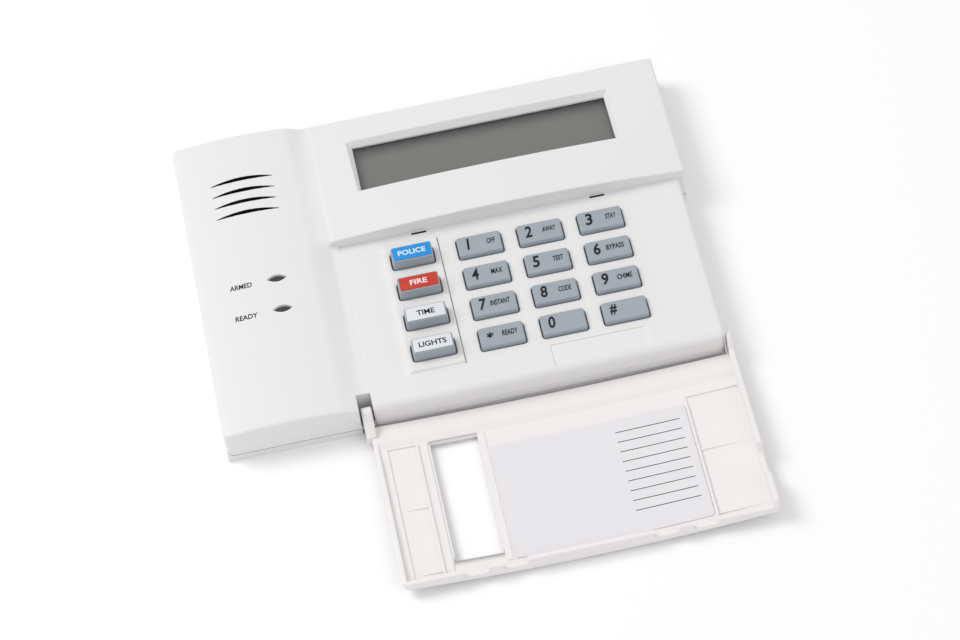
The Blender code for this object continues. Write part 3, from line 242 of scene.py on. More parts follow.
@dataclass(frozen=True)
class Finish:
    """A surface finish with two tones, a fine grain and painted shade: a near-black tone mixed in by a
    vertex attribute where shadow falls in hollows.
    """

    name: str
    tone: tuple[float, float, float, float]
    second_tone: tuple[float, float, float, float]
    roughness: float = 0.4
    metallic: float = 0.0
    pattern: Pattern = Pattern.GRAIN
    tone_size: float = 14.0 * MM
    grain_size: float = 0.35 * MM
    grain_depth: float = 0.01 * MM
    coat: float = 0.0
    alpha: float = 1.0

    def material(self) -> bpy.types.Material:
        """Build the material: noise of the object's own coordinates drives tone, sheen and bump.

        Returns:
            The material, whose roughness and colour vary gently over the surface.
        """
        made = bpy.data.materials.new(self.name + "_finish")
        graph = Graph(made)
        place = graph.node("ShaderNodeTexCoord", {}, "Object")
        scaled = graph.node(
            "ShaderNodeVectorMath", {0: place, 1: self.pattern.value}, operation="MULTIPLY"
        )
        cloud = graph.node(
            "ShaderNodeTexNoise", {"Vector": scaled, "Scale": 1 / self.tone_size, "Detail": 3.0}
        )
        grain = graph.node(
            "ShaderNodeTexNoise", {"Vector": scaled, "Scale": 1 / self.grain_size, "Detail": 2.0}
        )
        # painted shade: a vertex attribute that mixes the colour towards near black where shadow falls in
        # slits, slots and grooves
        painted_shade = graph.node(
            "ShaderNodeAttribute", {}, "Fac", attribute_type="GEOMETRY", attribute_name="painted_shade"
        )
        tone = graph.mix(cloud, self.tone, self.second_tone)
        # the near-black tone of the painted shade, and the colour darkened by it
        shade_tone = tuple(0.02 * channel for channel in self.tone[:3])
        colour = graph.mix(painted_shade, tone, (*shade_tone, 1.0))
        sheen = self.roughness + (cloud - 0.5) * 0.08 + (grain - 0.5) * 0.06
        bump = graph.node(
            "ShaderNodeBump", {"Height": grain, "Distance": self.grain_depth, "Strength": 1.0}
        )
        shader = graph.node(
            "ShaderNodeBsdfPrincipled",
            {
                "Base Color": colour,
                "Roughness": sheen,
                "Normal": bump,
                "Metallic": self.metallic,
                "Coat Weight": self.coat,
                "Alpha": self.alpha,
            },
        )
        graph.node("ShaderNodeOutputMaterial", {"Surface": shader})
        return made


def two_tones(red: float, green: float, blue: float, shift: float = 0.97) -> dict:
    """Return the tone and a slightly darker second tone as keywords for Finish."""
    tone = linear(red, green, blue)
    return {"tone": tone, "second_tone": (*(shift * channel for channel in tone[:3]), 1.0)}


FINISHES = {
    "white_plastic": Finish("white_plastic", **two_tones(232, 231, 230.5, 0.985), roughness=0.42),
    "door_plastic": Finish("door_plastic", **two_tones(239, 236, 235, 0.985), roughness=0.48),
    "key_grey": Finish("key_grey", **two_tones(160, 168, 177), roughness=0.36, tone_size=6 * MM),
    "silicone": Finish("silicone", **two_tones(96, 102, 108), roughness=0.7),
    "blue_label": Finish("blue_label", **two_tones(2, 146, 226), roughness=0.35),
    "red_label": Finish("red_label", **two_tones(202, 54, 34), roughness=0.35),
    "white_label": Finish("white_label", **two_tones(224, 228, 232), roughness=0.35),
    "paper": Finish(
        "paper", **two_tones(230, 228, 231, 0.98), roughness=0.8, pattern=Pattern.FIBRE,
        grain_size=0.25 * MM, grain_depth=0.015 * MM,
    ),
    "clear_plastic": Finish(
        "clear_plastic", **two_tones(200, 204, 202), roughness=0.08, coat=0.3, alpha=0.08,
        grain_depth=0.001 * MM,
    ),
    "lcd_glass": Finish(
        "lcd_glass", **two_tones(104, 105, 100), roughness=0.2, grain_depth=0.001 * MM
    ),
    "diffuser": Finish("diffuser", **two_tones(206, 214, 190), roughness=0.5),
    "steel": Finish(
        "steel", **two_tones(186, 186, 188), roughness=0.3, metallic=1.0,
        pattern=Pattern.BRUSHED, grain_size=0.2 * MM,
    ),
    "board_green": Finish(
        "board_green", **two_tones(36, 108, 62, 0.8), roughness=0.45, pattern=Pattern.WEAVE,
        tone_size=3 * MM, coat=0.3,
    ),
    "chip_black": Finish("chip_black", **two_tones(34, 34, 36, 0.8), roughness=0.5),
    "terminal_green": Finish("terminal_green", **two_tones(52, 140, 84), roughness=0.45),
    "smoked_plastic": Finish(
        "smoked_plastic", **two_tones(52, 52, 54, 0.7), roughness=0.18, coat=0.5,
        tone_size=2 * MM,
    ),
    "sounder_black": Finish("sounder_black", **two_tones(34, 34, 34), roughness=0.45),
    "ink": Finish("ink", **two_tones(8, 9, 13), roughness=0.75),
    "pale_ink": Finish("pale_ink", **two_tones(236, 240, 244), roughness=0.45),
}

NODE_FINISHES = {
    "back_plate": "white_plastic",
    "main_board": "board_green",
    "lcd_board": "board_green",
    "lcd_frame": "steel",
    "lcd_glass": "lcd_glass",
    "backlight": "diffuser",
    "display_lens": "clear_plastic",
    "display_jumper": "silicone",
    "keypad_mat": "silicone",
    "microcontroller": "chip_black",
    "capacitor": "chip_black",
    "crystal": "steel",
    "sounder": "sounder_black",
    "terminal_block": "terminal_green",
    "armed_lens": "smoked_plastic",
    "ready_lens": "smoked_plastic",
    "armed_led": "diffuser",
    "ready_led": "diffuser",
    "board_screw": "steel",
    "lcd_screw": "steel",
    "terminal_screw": "steel",
}


def grid_lines(low: float, high: float, step: float, marks: list[float]) -> np.ndarray:
    """Lay out grid lines from low to high, with a line on every mark.

    Args:
        low: the first line.
        high: the last line.
        step: the widest spacing.
        marks: places where a line must run.

    Returns:
        The sorted lines: even ones that keep clear of the marks, and the marks themselves.
    """
    count = math.ceil((high - low) / step)
    inner = [mark for mark in marks if low < mark < high]
    fixed = np.unique(np.round(np.array([low, high, *inner]), 7))
    even = np.linspace(low, high, count + 1)
    clear = np.abs(even[:, None] - fixed[None, :]).min(axis=1) > 0.3 * step
    return np.unique(np.concatenate([fixed, even[clear]]))


def border_marks(low: float, high: float, start: float, end: float) -> list[float]:
    """Return marks at both ends, close together where a rounded border bends most."""
    bends = 1.0 - np.cos(np.linspace(0.0, math.pi / 2, 6))
    return [*(low + start * bends).tolist(), *(high - end * bends).tolist()]


def grid_faces(rows: int, columns: int, closed: bool = False) -> np.ndarray:
    """List the quads of a grid of vertices stored row by row.

    Args:
        rows: how many rows of vertices there are.
        columns: how many vertices a row has.
        closed: whether the last column joins the first.

    Returns:
        One row of four vertex numbers for each quad, anticlockwise from above.
    """
    across_row = np.arange(columns if closed else columns - 1)
    row, column = np.meshgrid(np.arange(rows - 1), across_row, indexing="ij")
    following = (column + 1) % columns
    corners = [
        row * columns + column,
        row * columns + following,
        (row + 1) * columns + following,
        (row + 1) * columns + column,
    ]
    return np.stack([corner.ravel() for corner in corners], axis=1)


@dataclass
class Surface:
    """Vertices, faces and, for each vertex, a share of painted shade that darkens its colour, gathered from
    several grids.
    """

    points: np.ndarray = field(default_factory=lambda: np.zeros((0, 3)))
    faces: list = field(default_factory=list)
    painted_shade: np.ndarray = field(default_factory=lambda: np.zeros(0))

    def add(self, points: np.ndarray, faces: np.ndarray, painted_shade: np.ndarray | float = 0.0) -> None:
        """Append a grid's points and faces.

        Args:
            points: one row of x, y and z for each vertex.
            faces: vertex numbers of each face, counted from this grid's first vertex.
            painted_shade: how much painted shade darkens each vertex's colour, 0 to 1, standing in for
                shadow in hollows.
        """
        start = len(self.points)
        self.points = np.vstack([self.points, points])
        self.faces.extend((np.asarray(faces) + start).tolist())
        shade_amount = np.broadcast_to(painted_shade, (len(points),))
        self.painted_shade = np.concatenate([self.painted_shade, shade_amount])

    def sweep(self, rings: np.ndarray, painted_shade: np.ndarray | float = 0.0) -> None:
        """Append a closed sweep: each ring of the array joins the next one."""
        count, around = rings.shape[:2]
        self.add(rings.reshape(-1, 3), grid_faces(count, around, closed=True), painted_shade)

    def cap(self, ring: np.ndarray) -> None:
        """Append one flat face that closes a ring, facing the side it runs anticlockwise on."""
        self.add(ring, np.arange(len(ring))[None, :])

    def piece(self, name: str, finish: str, sharp: float = 40.0) -> bpy.types.Object:
        """Make the mesh object, with coincident vertices welded and edges past an angle sharp.

        Args:
            name: the object's name.
            finish: the name of its finish.
            sharp: the angle in degrees past which an edge is shaded sharp.

        Returns:
            The new object, linked to the scene.
        """
        mesh = bpy.data.meshes.new(name)
        mesh.from_pydata(self.points.tolist(), [], self.faces)
        # the painted shade share, stored for the finish to darken the colour with
        store = mesh.attributes.new("painted_shade", "FLOAT", "POINT")
        store.data.foreach_set("value", self.painted_shade.astype(np.float32))
        work = bmesh.new()
        work.from_mesh(mesh)
        bmesh.ops.remove_doubles(work, verts=work.verts, dist=0.002 * MM)
        work.to_mesh(mesh)
        work.free()
        mesh.shade_smooth()
        mesh.set_sharp_from_angle(angle=math.radians(sharp))
        mesh.materials.append(bpy.data.materials[finish + "_finish"])
        made = bpy.data.objects.new(name, mesh)
        bpy.context.scene.collection.objects.link(made)
        return made


def settle(piece: bpy.types.Object, body: BodyName, slot: str, *nodes: str) -> bpy.types.Object:
    """Let a finished piece ride on a body and stand for CAD nodes.

    Args:
        piece: the object.
        body: the CAD body it moves with.
        slot: the record's material slot; not used.
        *nodes: CAD nodes that it stands for.

    Returns:
        The same object.
    """
    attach(piece, body)
    if nodes:
        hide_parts(*nodes)
    LOG.info("%s rides on %s with %d vertices", piece.name, body, len(piece.data.vertices))
    return piece


@dataclass(frozen=True)
class Rect:
    """A rectangle in plan."""

    x0: float
    y0: float
    x1: float
    y1: float

    def inside(self, x: np.ndarray, y: np.ndarray) -> np.ndarray:
        """Return where points lie within the rectangle, by more than half a wall's cell."""
        half = STEP_GAP / 2
        within_x = (x > self.x0 + half) & (x < self.x1 - half)
        return within_x & (y > self.y0 + half) & (y < self.y1 - half)

    def grown(self, margin: float) -> "Rect":
        """Return the rectangle with every side moved out by the margin."""
        return Rect(self.x0 - margin, self.y0 - margin, self.x1 + margin, self.y1 + margin)

    def marks(self, axis: int, wall: float = STEP_GAP) -> list[float]:
        """Return lines at its sides on one axis, and just within them for upright walls."""
        low, high = (self.x0, self.x1) if axis == 0 else (self.y0, self.y1)
        return [low, low + wall, high - wall, high]

    @staticmethod
    def round(centre: tuple[float, float], size: tuple[float, float]) -> "Rect":
        """Return the rectangle of that centre and size."""
        half_x, half_y = size[0] / 2, size[1] / 2
        return Rect(centre[0] - half_x, centre[1] - half_y, centre[0] + half_x, centre[1] + half_y)


def rounded_outline(rect: Rect, radius: float, steps: int = 7) -> tuple[np.ndarray, np.ndarray]:
    """Walk anticlockwise round a rectangle with quarter-circle corners.

    Args:
        rect: the rectangle.
        radius: the corners' radius.
        steps: points on each corner.

    Returns:
        The corner centre of each point, and its outward direction; a point lies at
        centre + radius * direction, and an offset outline at a larger or smaller radius.
    """
    turns = np.arange(4)
    middles_x = np.where((turns == 0) | (turns == 3), rect.x1 - radius, rect.x0 + radius)
    middles_y = np.where(turns < 2, rect.y1 - radius, rect.y0 + radius)
    angles = turns[:, None] * math.pi / 2 + np.linspace(0.0, math.pi / 2, steps)[None, :]
    centres = np.stack([np.repeat(middles_x, steps), np.repeat(middles_y, steps)], axis=1)
    directions = np.stack([np.cos(angles).ravel(), np.sin(angles).ravel()], axis=1)
    return centres, directions


def offset_rings(rect: Rect, radius: float, profile: np.ndarray) -> np.ndarray:
    """Sweep a profile of offset and height round a rounded rectangle.

    Args:
        rect: the rectangle.
        radius: the corners' radius.
        profile: rows of offset outwards and height.

    Returns:
        Rings of points: centre + (radius + offset) * direction, at the profile's height.
    """
    centres, directions = rounded_outline(rect, radius)
    reach = radius + profile[:, 0]
    plan = centres[None] + reach[:, None, None] * directions[None]
    heights = np.broadcast_to(profile[:, 1, None, None], (*plan.shape[:2], 1))
    return np.concatenate([plan, heights], axis=2)


def square_ring(rect: Rect, radius: float, margin: float, height: float) -> np.ndarray:
    """Ring of points on the square-cornered rectangle that lies a margin outside the rounded one.

    Args:
        rect: the rectangle inside.
        radius: its corners' radius.
        margin: how far outside it the ring lies.
        height: the ring's height.

    Returns:
        The direction of each rounded point stretched until its larger part is 1.
    """
    centres, directions = rounded_outline(rect, radius)
    stretched = directions / np.abs(directions).max(axis=1, keepdims=True)
    plan = centres + (radius + margin) * stretched
    return np.column_stack([plan, np.full(len(plan), height)])


@dataclass
class Sheet:
    """A height surface over a rectangle with rounded borders, plan corners and left-out cells."""

    rect: Rect
    height: Heights
    step: float
    border: tuple[float, float, float, float] = (0.0, 0.0, 0.0, 0.0)  # left, right, bottom, top
    corners: tuple[float, float, float, float] = (0.0, 0.0, 0.0, 0.0)  # anticlockwise, lower left on
    marks_x: list[float] = field(default_factory=list)
    marks_y: list[float] = field(default_factory=list)
    holes: list[Rect] = field(default_factory=list)
    # painted shade share by place, darkening the colour where shadow falls in hollows
    painted_shade: Heights | None = None
    outward: float = 1.0  # 1 where the face looks up, -1 where it looks down

    def lines(self) -> tuple[np.ndarray, np.ndarray]:
        """Return the grid lines along x and along y."""
        left, right, bottom, top = self.border
        ends_x = border_marks(self.rect.x0, self.rect.x1, left, right)
        ends_y = border_marks(self.rect.y0, self.rect.y1, bottom, top)
        xs = grid_lines(self.rect.x0, self.rect.x1, self.step, self.marks_x + ends_x)
        ys = grid_lines(self.rect.y0, self.rect.y1, self.step, self.marks_y + ends_y)
        return xs, ys

    def drop(self, x: np.ndarray, y: np.ndarray) -> np.ndarray:
        """Fall of the rounded border: r - r * sqrt(1 - q^2), q the share of the way to the rim.

        Args:
            x: places along the panel.
            y: places up the panel.

        Returns:
            The fall at each place, zero away from the borders.
        """
        left, right, bottom, top = (max(radius, 1e-9) for radius in self.border)
        from_left = np.clip(1.0 - (x - self.rect.x0) / left, 0.0, 1.0)
        from_right = np.clip(1.0 - (self.rect.x1 - x) / right, 0.0, 1.0)
        from_bottom = np.clip(1.0 - (y - self.rect.y0) / bottom, 0.0, 1.0)
        from_top = np.clip(1.0 - (self.rect.y1 - y) / top, 0.0, 1.0)
        shares = np.stack([from_left, from_right, from_bottom, from_top]) ** 2
        radii = np.array([left, right, bottom, top]).reshape(4, *([1] * x.ndim))
        whole = shares.sum(axis=0)
        radius = (shares * radii).sum(axis=0) / np.maximum(whole, 1e-12)
        return radius * (1.0 - np.sqrt(1.0 - np.minimum(whole, 1.0)))

    def round_plan(self, x: np.ndarray, y: np.ndarray) -> tuple[np.ndarray, np.ndarray]:
        """Bend the square corners of the plan into quarter circles.

        Args:
            x: places along the panel.
            y: places up the panel.

        Returns:
            The places, where a corner's (a, b) becomes (a sqrt(1 - b^2/2), b sqrt(1 - a^2/2)).
        """
        r = self.rect
        corners = ((r.x0, r.y0, -1, -1), (r.x1, r.y0, 1, -1), (r.x1, r.y1, 1, 1), (r.x0, r.y1, -1, 1))
        for (corner_x, corner_y, side_x, side_y), radius in zip(corners, self.corners):
            if radius <= 0.0:
                continue
            middle_x, middle_y = corner_x - side_x * radius, corner_y - side_y * radius
            a = (x - middle_x) * side_x / radius
            b = (y - middle_y) * side_y / radius
            within = (a > 0.0) & (b > 0.0)
            round_x = middle_x + side_x * radius * a * np.sqrt(np.maximum(1.0 - b * b / 2, 0.0))
            round_y = middle_y + side_y * radius * b * np.sqrt(np.maximum(1.0 - a * a / 2, 0.0))
            x, y = np.where(within, round_x, x), np.where(within, round_y, y)
        return x, y

    def points(self) -> np.ndarray:
        """Return the grid of points, rows up the panel."""
        xs, ys = self.lines()
        x, y = np.meshgrid(xs, ys)
        z = self.height(x, y) - self.outward * self.drop(x, y)
        plan_x, plan_y = self.round_plan(x, y)
        return np.stack([plan_x, plan_y, z], axis=2)

    def put(self, surface: Surface) -> np.ndarray:
        """Append the sheet to a surface.

        Args:
            surface: where its points and faces go.

        Returns:
            The loop of border points, anticlockwise from above.
        """
        xs, ys = self.lines()
        grid = self.points()
        faces = grid_faces(len(ys), len(xs))
        middle_x = (xs[:-1] + xs[1:]) / 2
        middle_y = (ys[:-1] + ys[1:]) / 2
        cell_x, cell_y = (part.ravel() for part in np.meshgrid(middle_x, middle_y))
        kept = np.ones(len(faces), bool)
        for hole in self.holes:
            kept &= ~hole.inside(cell_x, cell_y)
        faces = faces[kept] if self.outward > 0 else faces[kept][:, ::-1]
        x, y = np.meshgrid(xs, ys)
        # painted shade share of each vertex
        shade_amount = 0.0 if self.painted_shade is None else self.painted_shade(x, y).ravel()
        surface.add(grid.reshape(-1, 3), faces, shade_amount)
        return np.concatenate([grid[0, :-1], grid[:-1, -1], grid[-1, :0:-1], grid[:0:-1, 0]])


def skirt_rings(loop: np.ndarray, levels: np.ndarray) -> np.ndarray:
    """Hang upright rings under a border loop.

    Args:
        loop: the border's points, anticlockwise from above.
        levels: rows of height and inset, from the lowest up.

    Returns:
        The rings, each the loop moved in along its own normal in plan, and the loop as the last.
    """
    ahead, behind = np.roll(loop, -1, axis=0), np.roll(loop, 1, axis=0)
    along = (ahead - behind)[:, :2]
    along /= np.maximum(np.linalg.norm(along, axis=1, keepdims=True), 1e-9)
    inwards = np.stack([-along[:, 1], along[:, 0]], axis=1)
    plan = loop[None, :, :2] + levels[:, 1, None, None] * inwards[None]
    heights = np.broadcast_to(levels[:, 0, None, None], (*plan.shape[:2], 1))
    rings = np.concatenate([plan, heights], axis=2)
    return np.concatenate([rings, loop[None]])


@dataclass
class Wing:
    """The wing on the left: sounder slits, two status windows and a soft valley on its right."""

    slit_centre: tuple[float, float] = (LEFT + 24.0 * MM, TOP - 30.0 * MM)
    slit_length: float = 24.0 * MM
    slit_pitch: float = 5.3 * MM
    slit_rises: tuple[float, float] = (0.3 * MM, 1.75 * MM)
    slit_count: int = 4
    slit_depth: float = 3.0 * MM
    # how far the painted shade of a slit spreads past its edges
    slit_shade_margin: float = 0.11 * MM
    valley_start: float = WING_RIGHT - 6.5 * MM
    slope_end: float = WING_RIGHT + 2.1 * MM  # clear of the shut door's left wall
    border: float = 1.3 * MM
    corner: float = 3.0 * MM

    def slit_middles(self) -> np.ndarray:
        """Return the height along the panel of each slit's ends."""
        spread = np.arange(self.slit_count) - (self.slit_count - 1) / 2
        return self.slit_centre[1] + spread * self.slit_pitch

    def in_slit(self, x: np.ndarray, y: np.ndarray) -> np.ndarray:
        """Tell where a place lies in a crescent slit.

        Args:
            x: places along the panel.
            y: places up the panel.

        Returns:
            True between the two arches rise * (1 - s^2) over a slit's chord.
        """
        share = (x - self.slit_centre[0]) / (self.slit_length / 2)
        bow = np.maximum(1.0 - share**2, 0.0)
        found = np.zeros(x.shape, bool)
        half_rise = sum(self.slit_rises) / 4
        for middle in self.slit_middles():
            over = y - middle + half_rise
            found |= (over > self.slit_rises[0] * bow) & (over < self.slit_rises[1] * bow)
        return found

    def windows(self) -> list[tuple[Vector, Vector]]:
        """Return the boxes of the two status lenses."""
        return [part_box("armed_lens"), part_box("ready_lens")]

    def window_floor(self, x: np.ndarray, y: np.ndarray) -> np.ndarray:
        """Height of the floor of the status windows, which lies just under each lens's top.

        Args:
            x: places along the panel.
            y: places up the panel.

        Returns:
            The floor inside the pointed oval half * (1 - s^2), and a great height elsewhere.
        """
        found = np.full(x.shape, 1.0)
        for low, high in self.windows():
            middle_x, middle_y = (low.x + high.x) / 2, (low.y + high.y) / 2
            half_x, half_y = (high.x - low.x) / 2 + 0.3 * MM, (high.y - low.y) / 2 + 0.15 * MM
            bow = half_y * np.maximum(1.0 - ((x - middle_x) / half_x) ** 2, 0.0)
            found = np.where(np.abs(y - middle_y) < bow, high.z - 0.1 * MM, found)
        return found

    def height(self, x: np.ndarray, y: np.ndarray) -> np.ndarray:
        """Height of the wing with its valley, slits, windows and the notch for the door's ear.

        Args:
            x: places along the panel.
            y: places up the panel.

        Returns:
            The arch, turned down with the square of the way to the deck or eased to the display.
        """
        face = wing_face(x, y)
        to_deck = np.clip((x - self.valley_start) / (self.slope_end - self.valley_start), 0.0, 1.0)
        beside_keys = face + (DECK_Z - 0.05 * MM - face) * to_deck**1.6
        reach = DISPLAY_LEFT - self.valley_start
        to_display = smooth((x - self.valley_start) / reach)
        valley = WING_EDGE_Z + WING_RISE * (y - BOTTOM) / (TOP - BOTTOM) - 0.5 * MM
        target = np.minimum(valley, display_face(np.full(x.shape, DISPLAY_LEFT), y) - 0.15 * MM)
        beside_display = face + (target - face) * to_display
        blend = smooth((y - DISPLAY_BOTTOM + 2.0 * MM) / (4.0 * MM))
        made = beside_keys + (beside_display - beside_keys) * blend
        made = np.where(self.in_slit(x, y), made - self.slit_depth, made)
        made = np.minimum(made, self.window_floor(x, y))
        notch = (x > WING_RIGHT + STEP_GAP / 2) & (y < NOTCH_TOP - STEP_GAP / 2)
        return np.where(notch, BACK_Z + 1.0 * MM, made)

    def painted_shade(self, x: np.ndarray, y: np.ndarray) -> np.ndarray:
        """Return the painted shade: 1 in the slits and on their rims, a little in the notch, and 0
        elsewhere, darkening the colour where shadow falls.
        """
        notch = (x > WING_RIGHT + 0.1 * MM) & (y < NOTCH_TOP - 0.1 * MM)
        rim = self.slit_shade_margin
        dark = self.in_slit(x, y - rim) | self.in_slit(x, y + rim) | self.in_slit(x, y)
        return np.maximum(dark * 1.0, notch * 0.55)

    def build(self) -> bpy.types.Object:
        """Build the wing as a height surface with a skirt down to the back plate.

        Returns:
            The finished piece.
        """
        slit_low = self.slit_middles()[0] - 1.0 * MM
        slit_high = self.slit_middles()[-1] + 1.7 * MM
        half = self.slit_length / 2
        marks_x = [WING_RIGHT, WING_RIGHT + STEP_GAP, DISPLAY_LEFT, self.slope_end]
        marks_x += np.linspace(self.valley_start, self.slope_end, 14).tolist()
        marks_x += np.linspace(self.slit_centre[0] - half, self.slit_centre[0] + half, 90).tolist()
        marks_y = [NOTCH_TOP, NOTCH_TOP - STEP_GAP]
        marks_y += np.linspace(slit_low, slit_high, 210).tolist()
        for low, high in self.windows():
            marks_x += np.linspace(low.x - 0.3 * MM, high.x + 0.3 * MM, 50).tolist()
            marks_y += np.linspace(low.y - 0.2 * MM, high.y + 0.2 * MM, 40).tolist()
        sheet = Sheet(
            Rect(LEFT, BOTTOM, DECK_LEFT, TOP), self.height, 1.5 * MM,
            border=(self.border, 0.0, self.border, self.border),
            corners=(self.corner, 0.0, 0.0, self.corner),
            marks_x=marks_x, marks_y=marks_y,
            holes=[Rect(DISPLAY_LEFT + 1.0 * MM, DISPLAY_BOTTOM + 1.0 * MM, RIGHT, TOP + MM)],
            painted_shade=self.painted_shade,
        )
        surface = Surface()
        loop = sheet.put(surface)
        surface.sweep(skirt_rings(loop, np.array([[BACK_Z, 0.0]])))
        return settle(surface.piece("wing_shell", "white_plastic"), "root", "white_plastic", "front_case")


@dataclass
class Display:
    """The display section: an arched face with a funnelled view over the lens."""

    view_size: tuple[float, float] = (98.0 * MM, 24.0 * MM)
    view_offset: tuple[float, float] = (-2.75 * MM, -25.9 * MM)
    view_depth: float = 2.5 * MM
    ledge: float = 0.8 * MM
    funnel_side: float = 1.0  # run of the funnel's sides for each unit of height
    funnel_top: float = 0.83
    border: tuple[float, float, float, float] = (1.6 * MM, 1.0 * MM, 0.7 * MM, 1.2 * MM)

    def view(self) -> Rect:
        """Return the view's rectangle in plan."""
        centre = ((DISPLAY_LEFT + RIGHT) / 2 + self.view_offset[0], TOP + self.view_offset[1])
        return Rect.round(centre, self.view_size)

    def tilt(self) -> float:
        """Return the face's slope at the crown, as fall over run."""
        return (DISPLAY_LOW_Z - DISPLAY_TOP_Z) / (TOP - DISPLAY_BOTTOM)

    def floor(self, y: np.ndarray) -> np.ndarray:
        """Return the height of the view's plane, which lies under the face by the view's depth."""
        return DISPLAY_TOP_Z + (TOP - y) * self.tilt() - self.view_depth

    def height(self, x: np.ndarray, y: np.ndarray) -> np.ndarray:
        """Height of the face with the funnel cut into it.

        Args:
            x: places along the panel.
            y: places up the panel.

        Returns:
            The lower of the face and the funnel, which climbs from the view's plane to its
            left, right and top.
        """
        view = self.view()
        side = np.maximum(np.maximum(view.x0 - x, x - view.x1), 0.0) / self.funnel_side
        above = np.maximum(y - view.y1, 0.0) / self.funnel_top
        funnel = self.floor(y) + np.maximum(side, above)
        funnel = np.where(y < view.y0, DISPLAY_LOW_Z * 2, funnel)
        made = np.minimum(display_face(x, y), funnel)
        return np.where(view.inside(x, y), self.floor(y) - self.ledge, made)

    def build(self) -> bpy.types.Object:
        """Build the display section as a height surface with a skirt.

        Returns:
            The finished piece.
        """
        view = self.view()
        reach = 6.0 * MM
        marks_x = view.marks(0)
        marks_y = view.marks(1)
        marks_x += np.linspace(view.x0 - reach, view.x0, 25).tolist()
        marks_x += np.linspace(view.x1, view.x1 + reach, 25).tolist()
        marks_y += np.linspace(view.y1, view.y1 + reach, 41).tolist()
        sheet = Sheet(
            Rect(DISPLAY_LEFT, DISPLAY_BOTTOM, RIGHT, TOP), self.height, 1.5 * MM,
            border=self.border, corners=(0.5 * MM, 1.0 * MM, 1.6 * MM, 0.0),
            marks_x=marks_x, marks_y=marks_y, holes=[view.grown(-2 * STEP_GAP)],
        )
        surface = Surface()
        loop = sheet.put(surface)
        surface.sweep(skirt_rings(loop, np.array([[BACK_Z, 0.0]])))
        piece = surface.piece("display_shell", "white_plastic", sharp=30.0)
        return settle(piece, "root", "white_plastic", "front_case")


KEY_WORDS = {
    "key_1": ("1", "OFF", 3.1 * MM),
    "key_2": ("2", "AWAY", 5.0 * MM),
    "key_3": ("3", "STAY", 3.9 * MM),
    "key_4": ("4", "MAX", 4.2 * MM),
    "key_5": ("5", "TEST", 3.9 * MM),
    "key_6": ("6", "BYPASS", 6.6 * MM),
    "key_7": ("7", "INSTANT", 7.2 * MM),
    "key_8": ("8", "CODE", 4.7 * MM),
    "key_9": ("9", "CHIME", 5.6 * MM),
    "key_star": ("*", "READY", 5.6 * MM),
    "key_0": ("0", "", 0.0),
    "key_hash": ("#", "", 0.0),
}
FUNCTION_WORDS = {
    "police": ("POLICE", 10.3 * MM, "blue_label", "pale_ink"),
    "fire": ("FIRE", 6.4 * MM, "red_label", "pale_ink"),
    "time": ("TIME", 6.6 * MM, "white_label", "ink"),
    "lights": ("LIGHTS", 10.2 * MM, "white_label", "ink"),
}


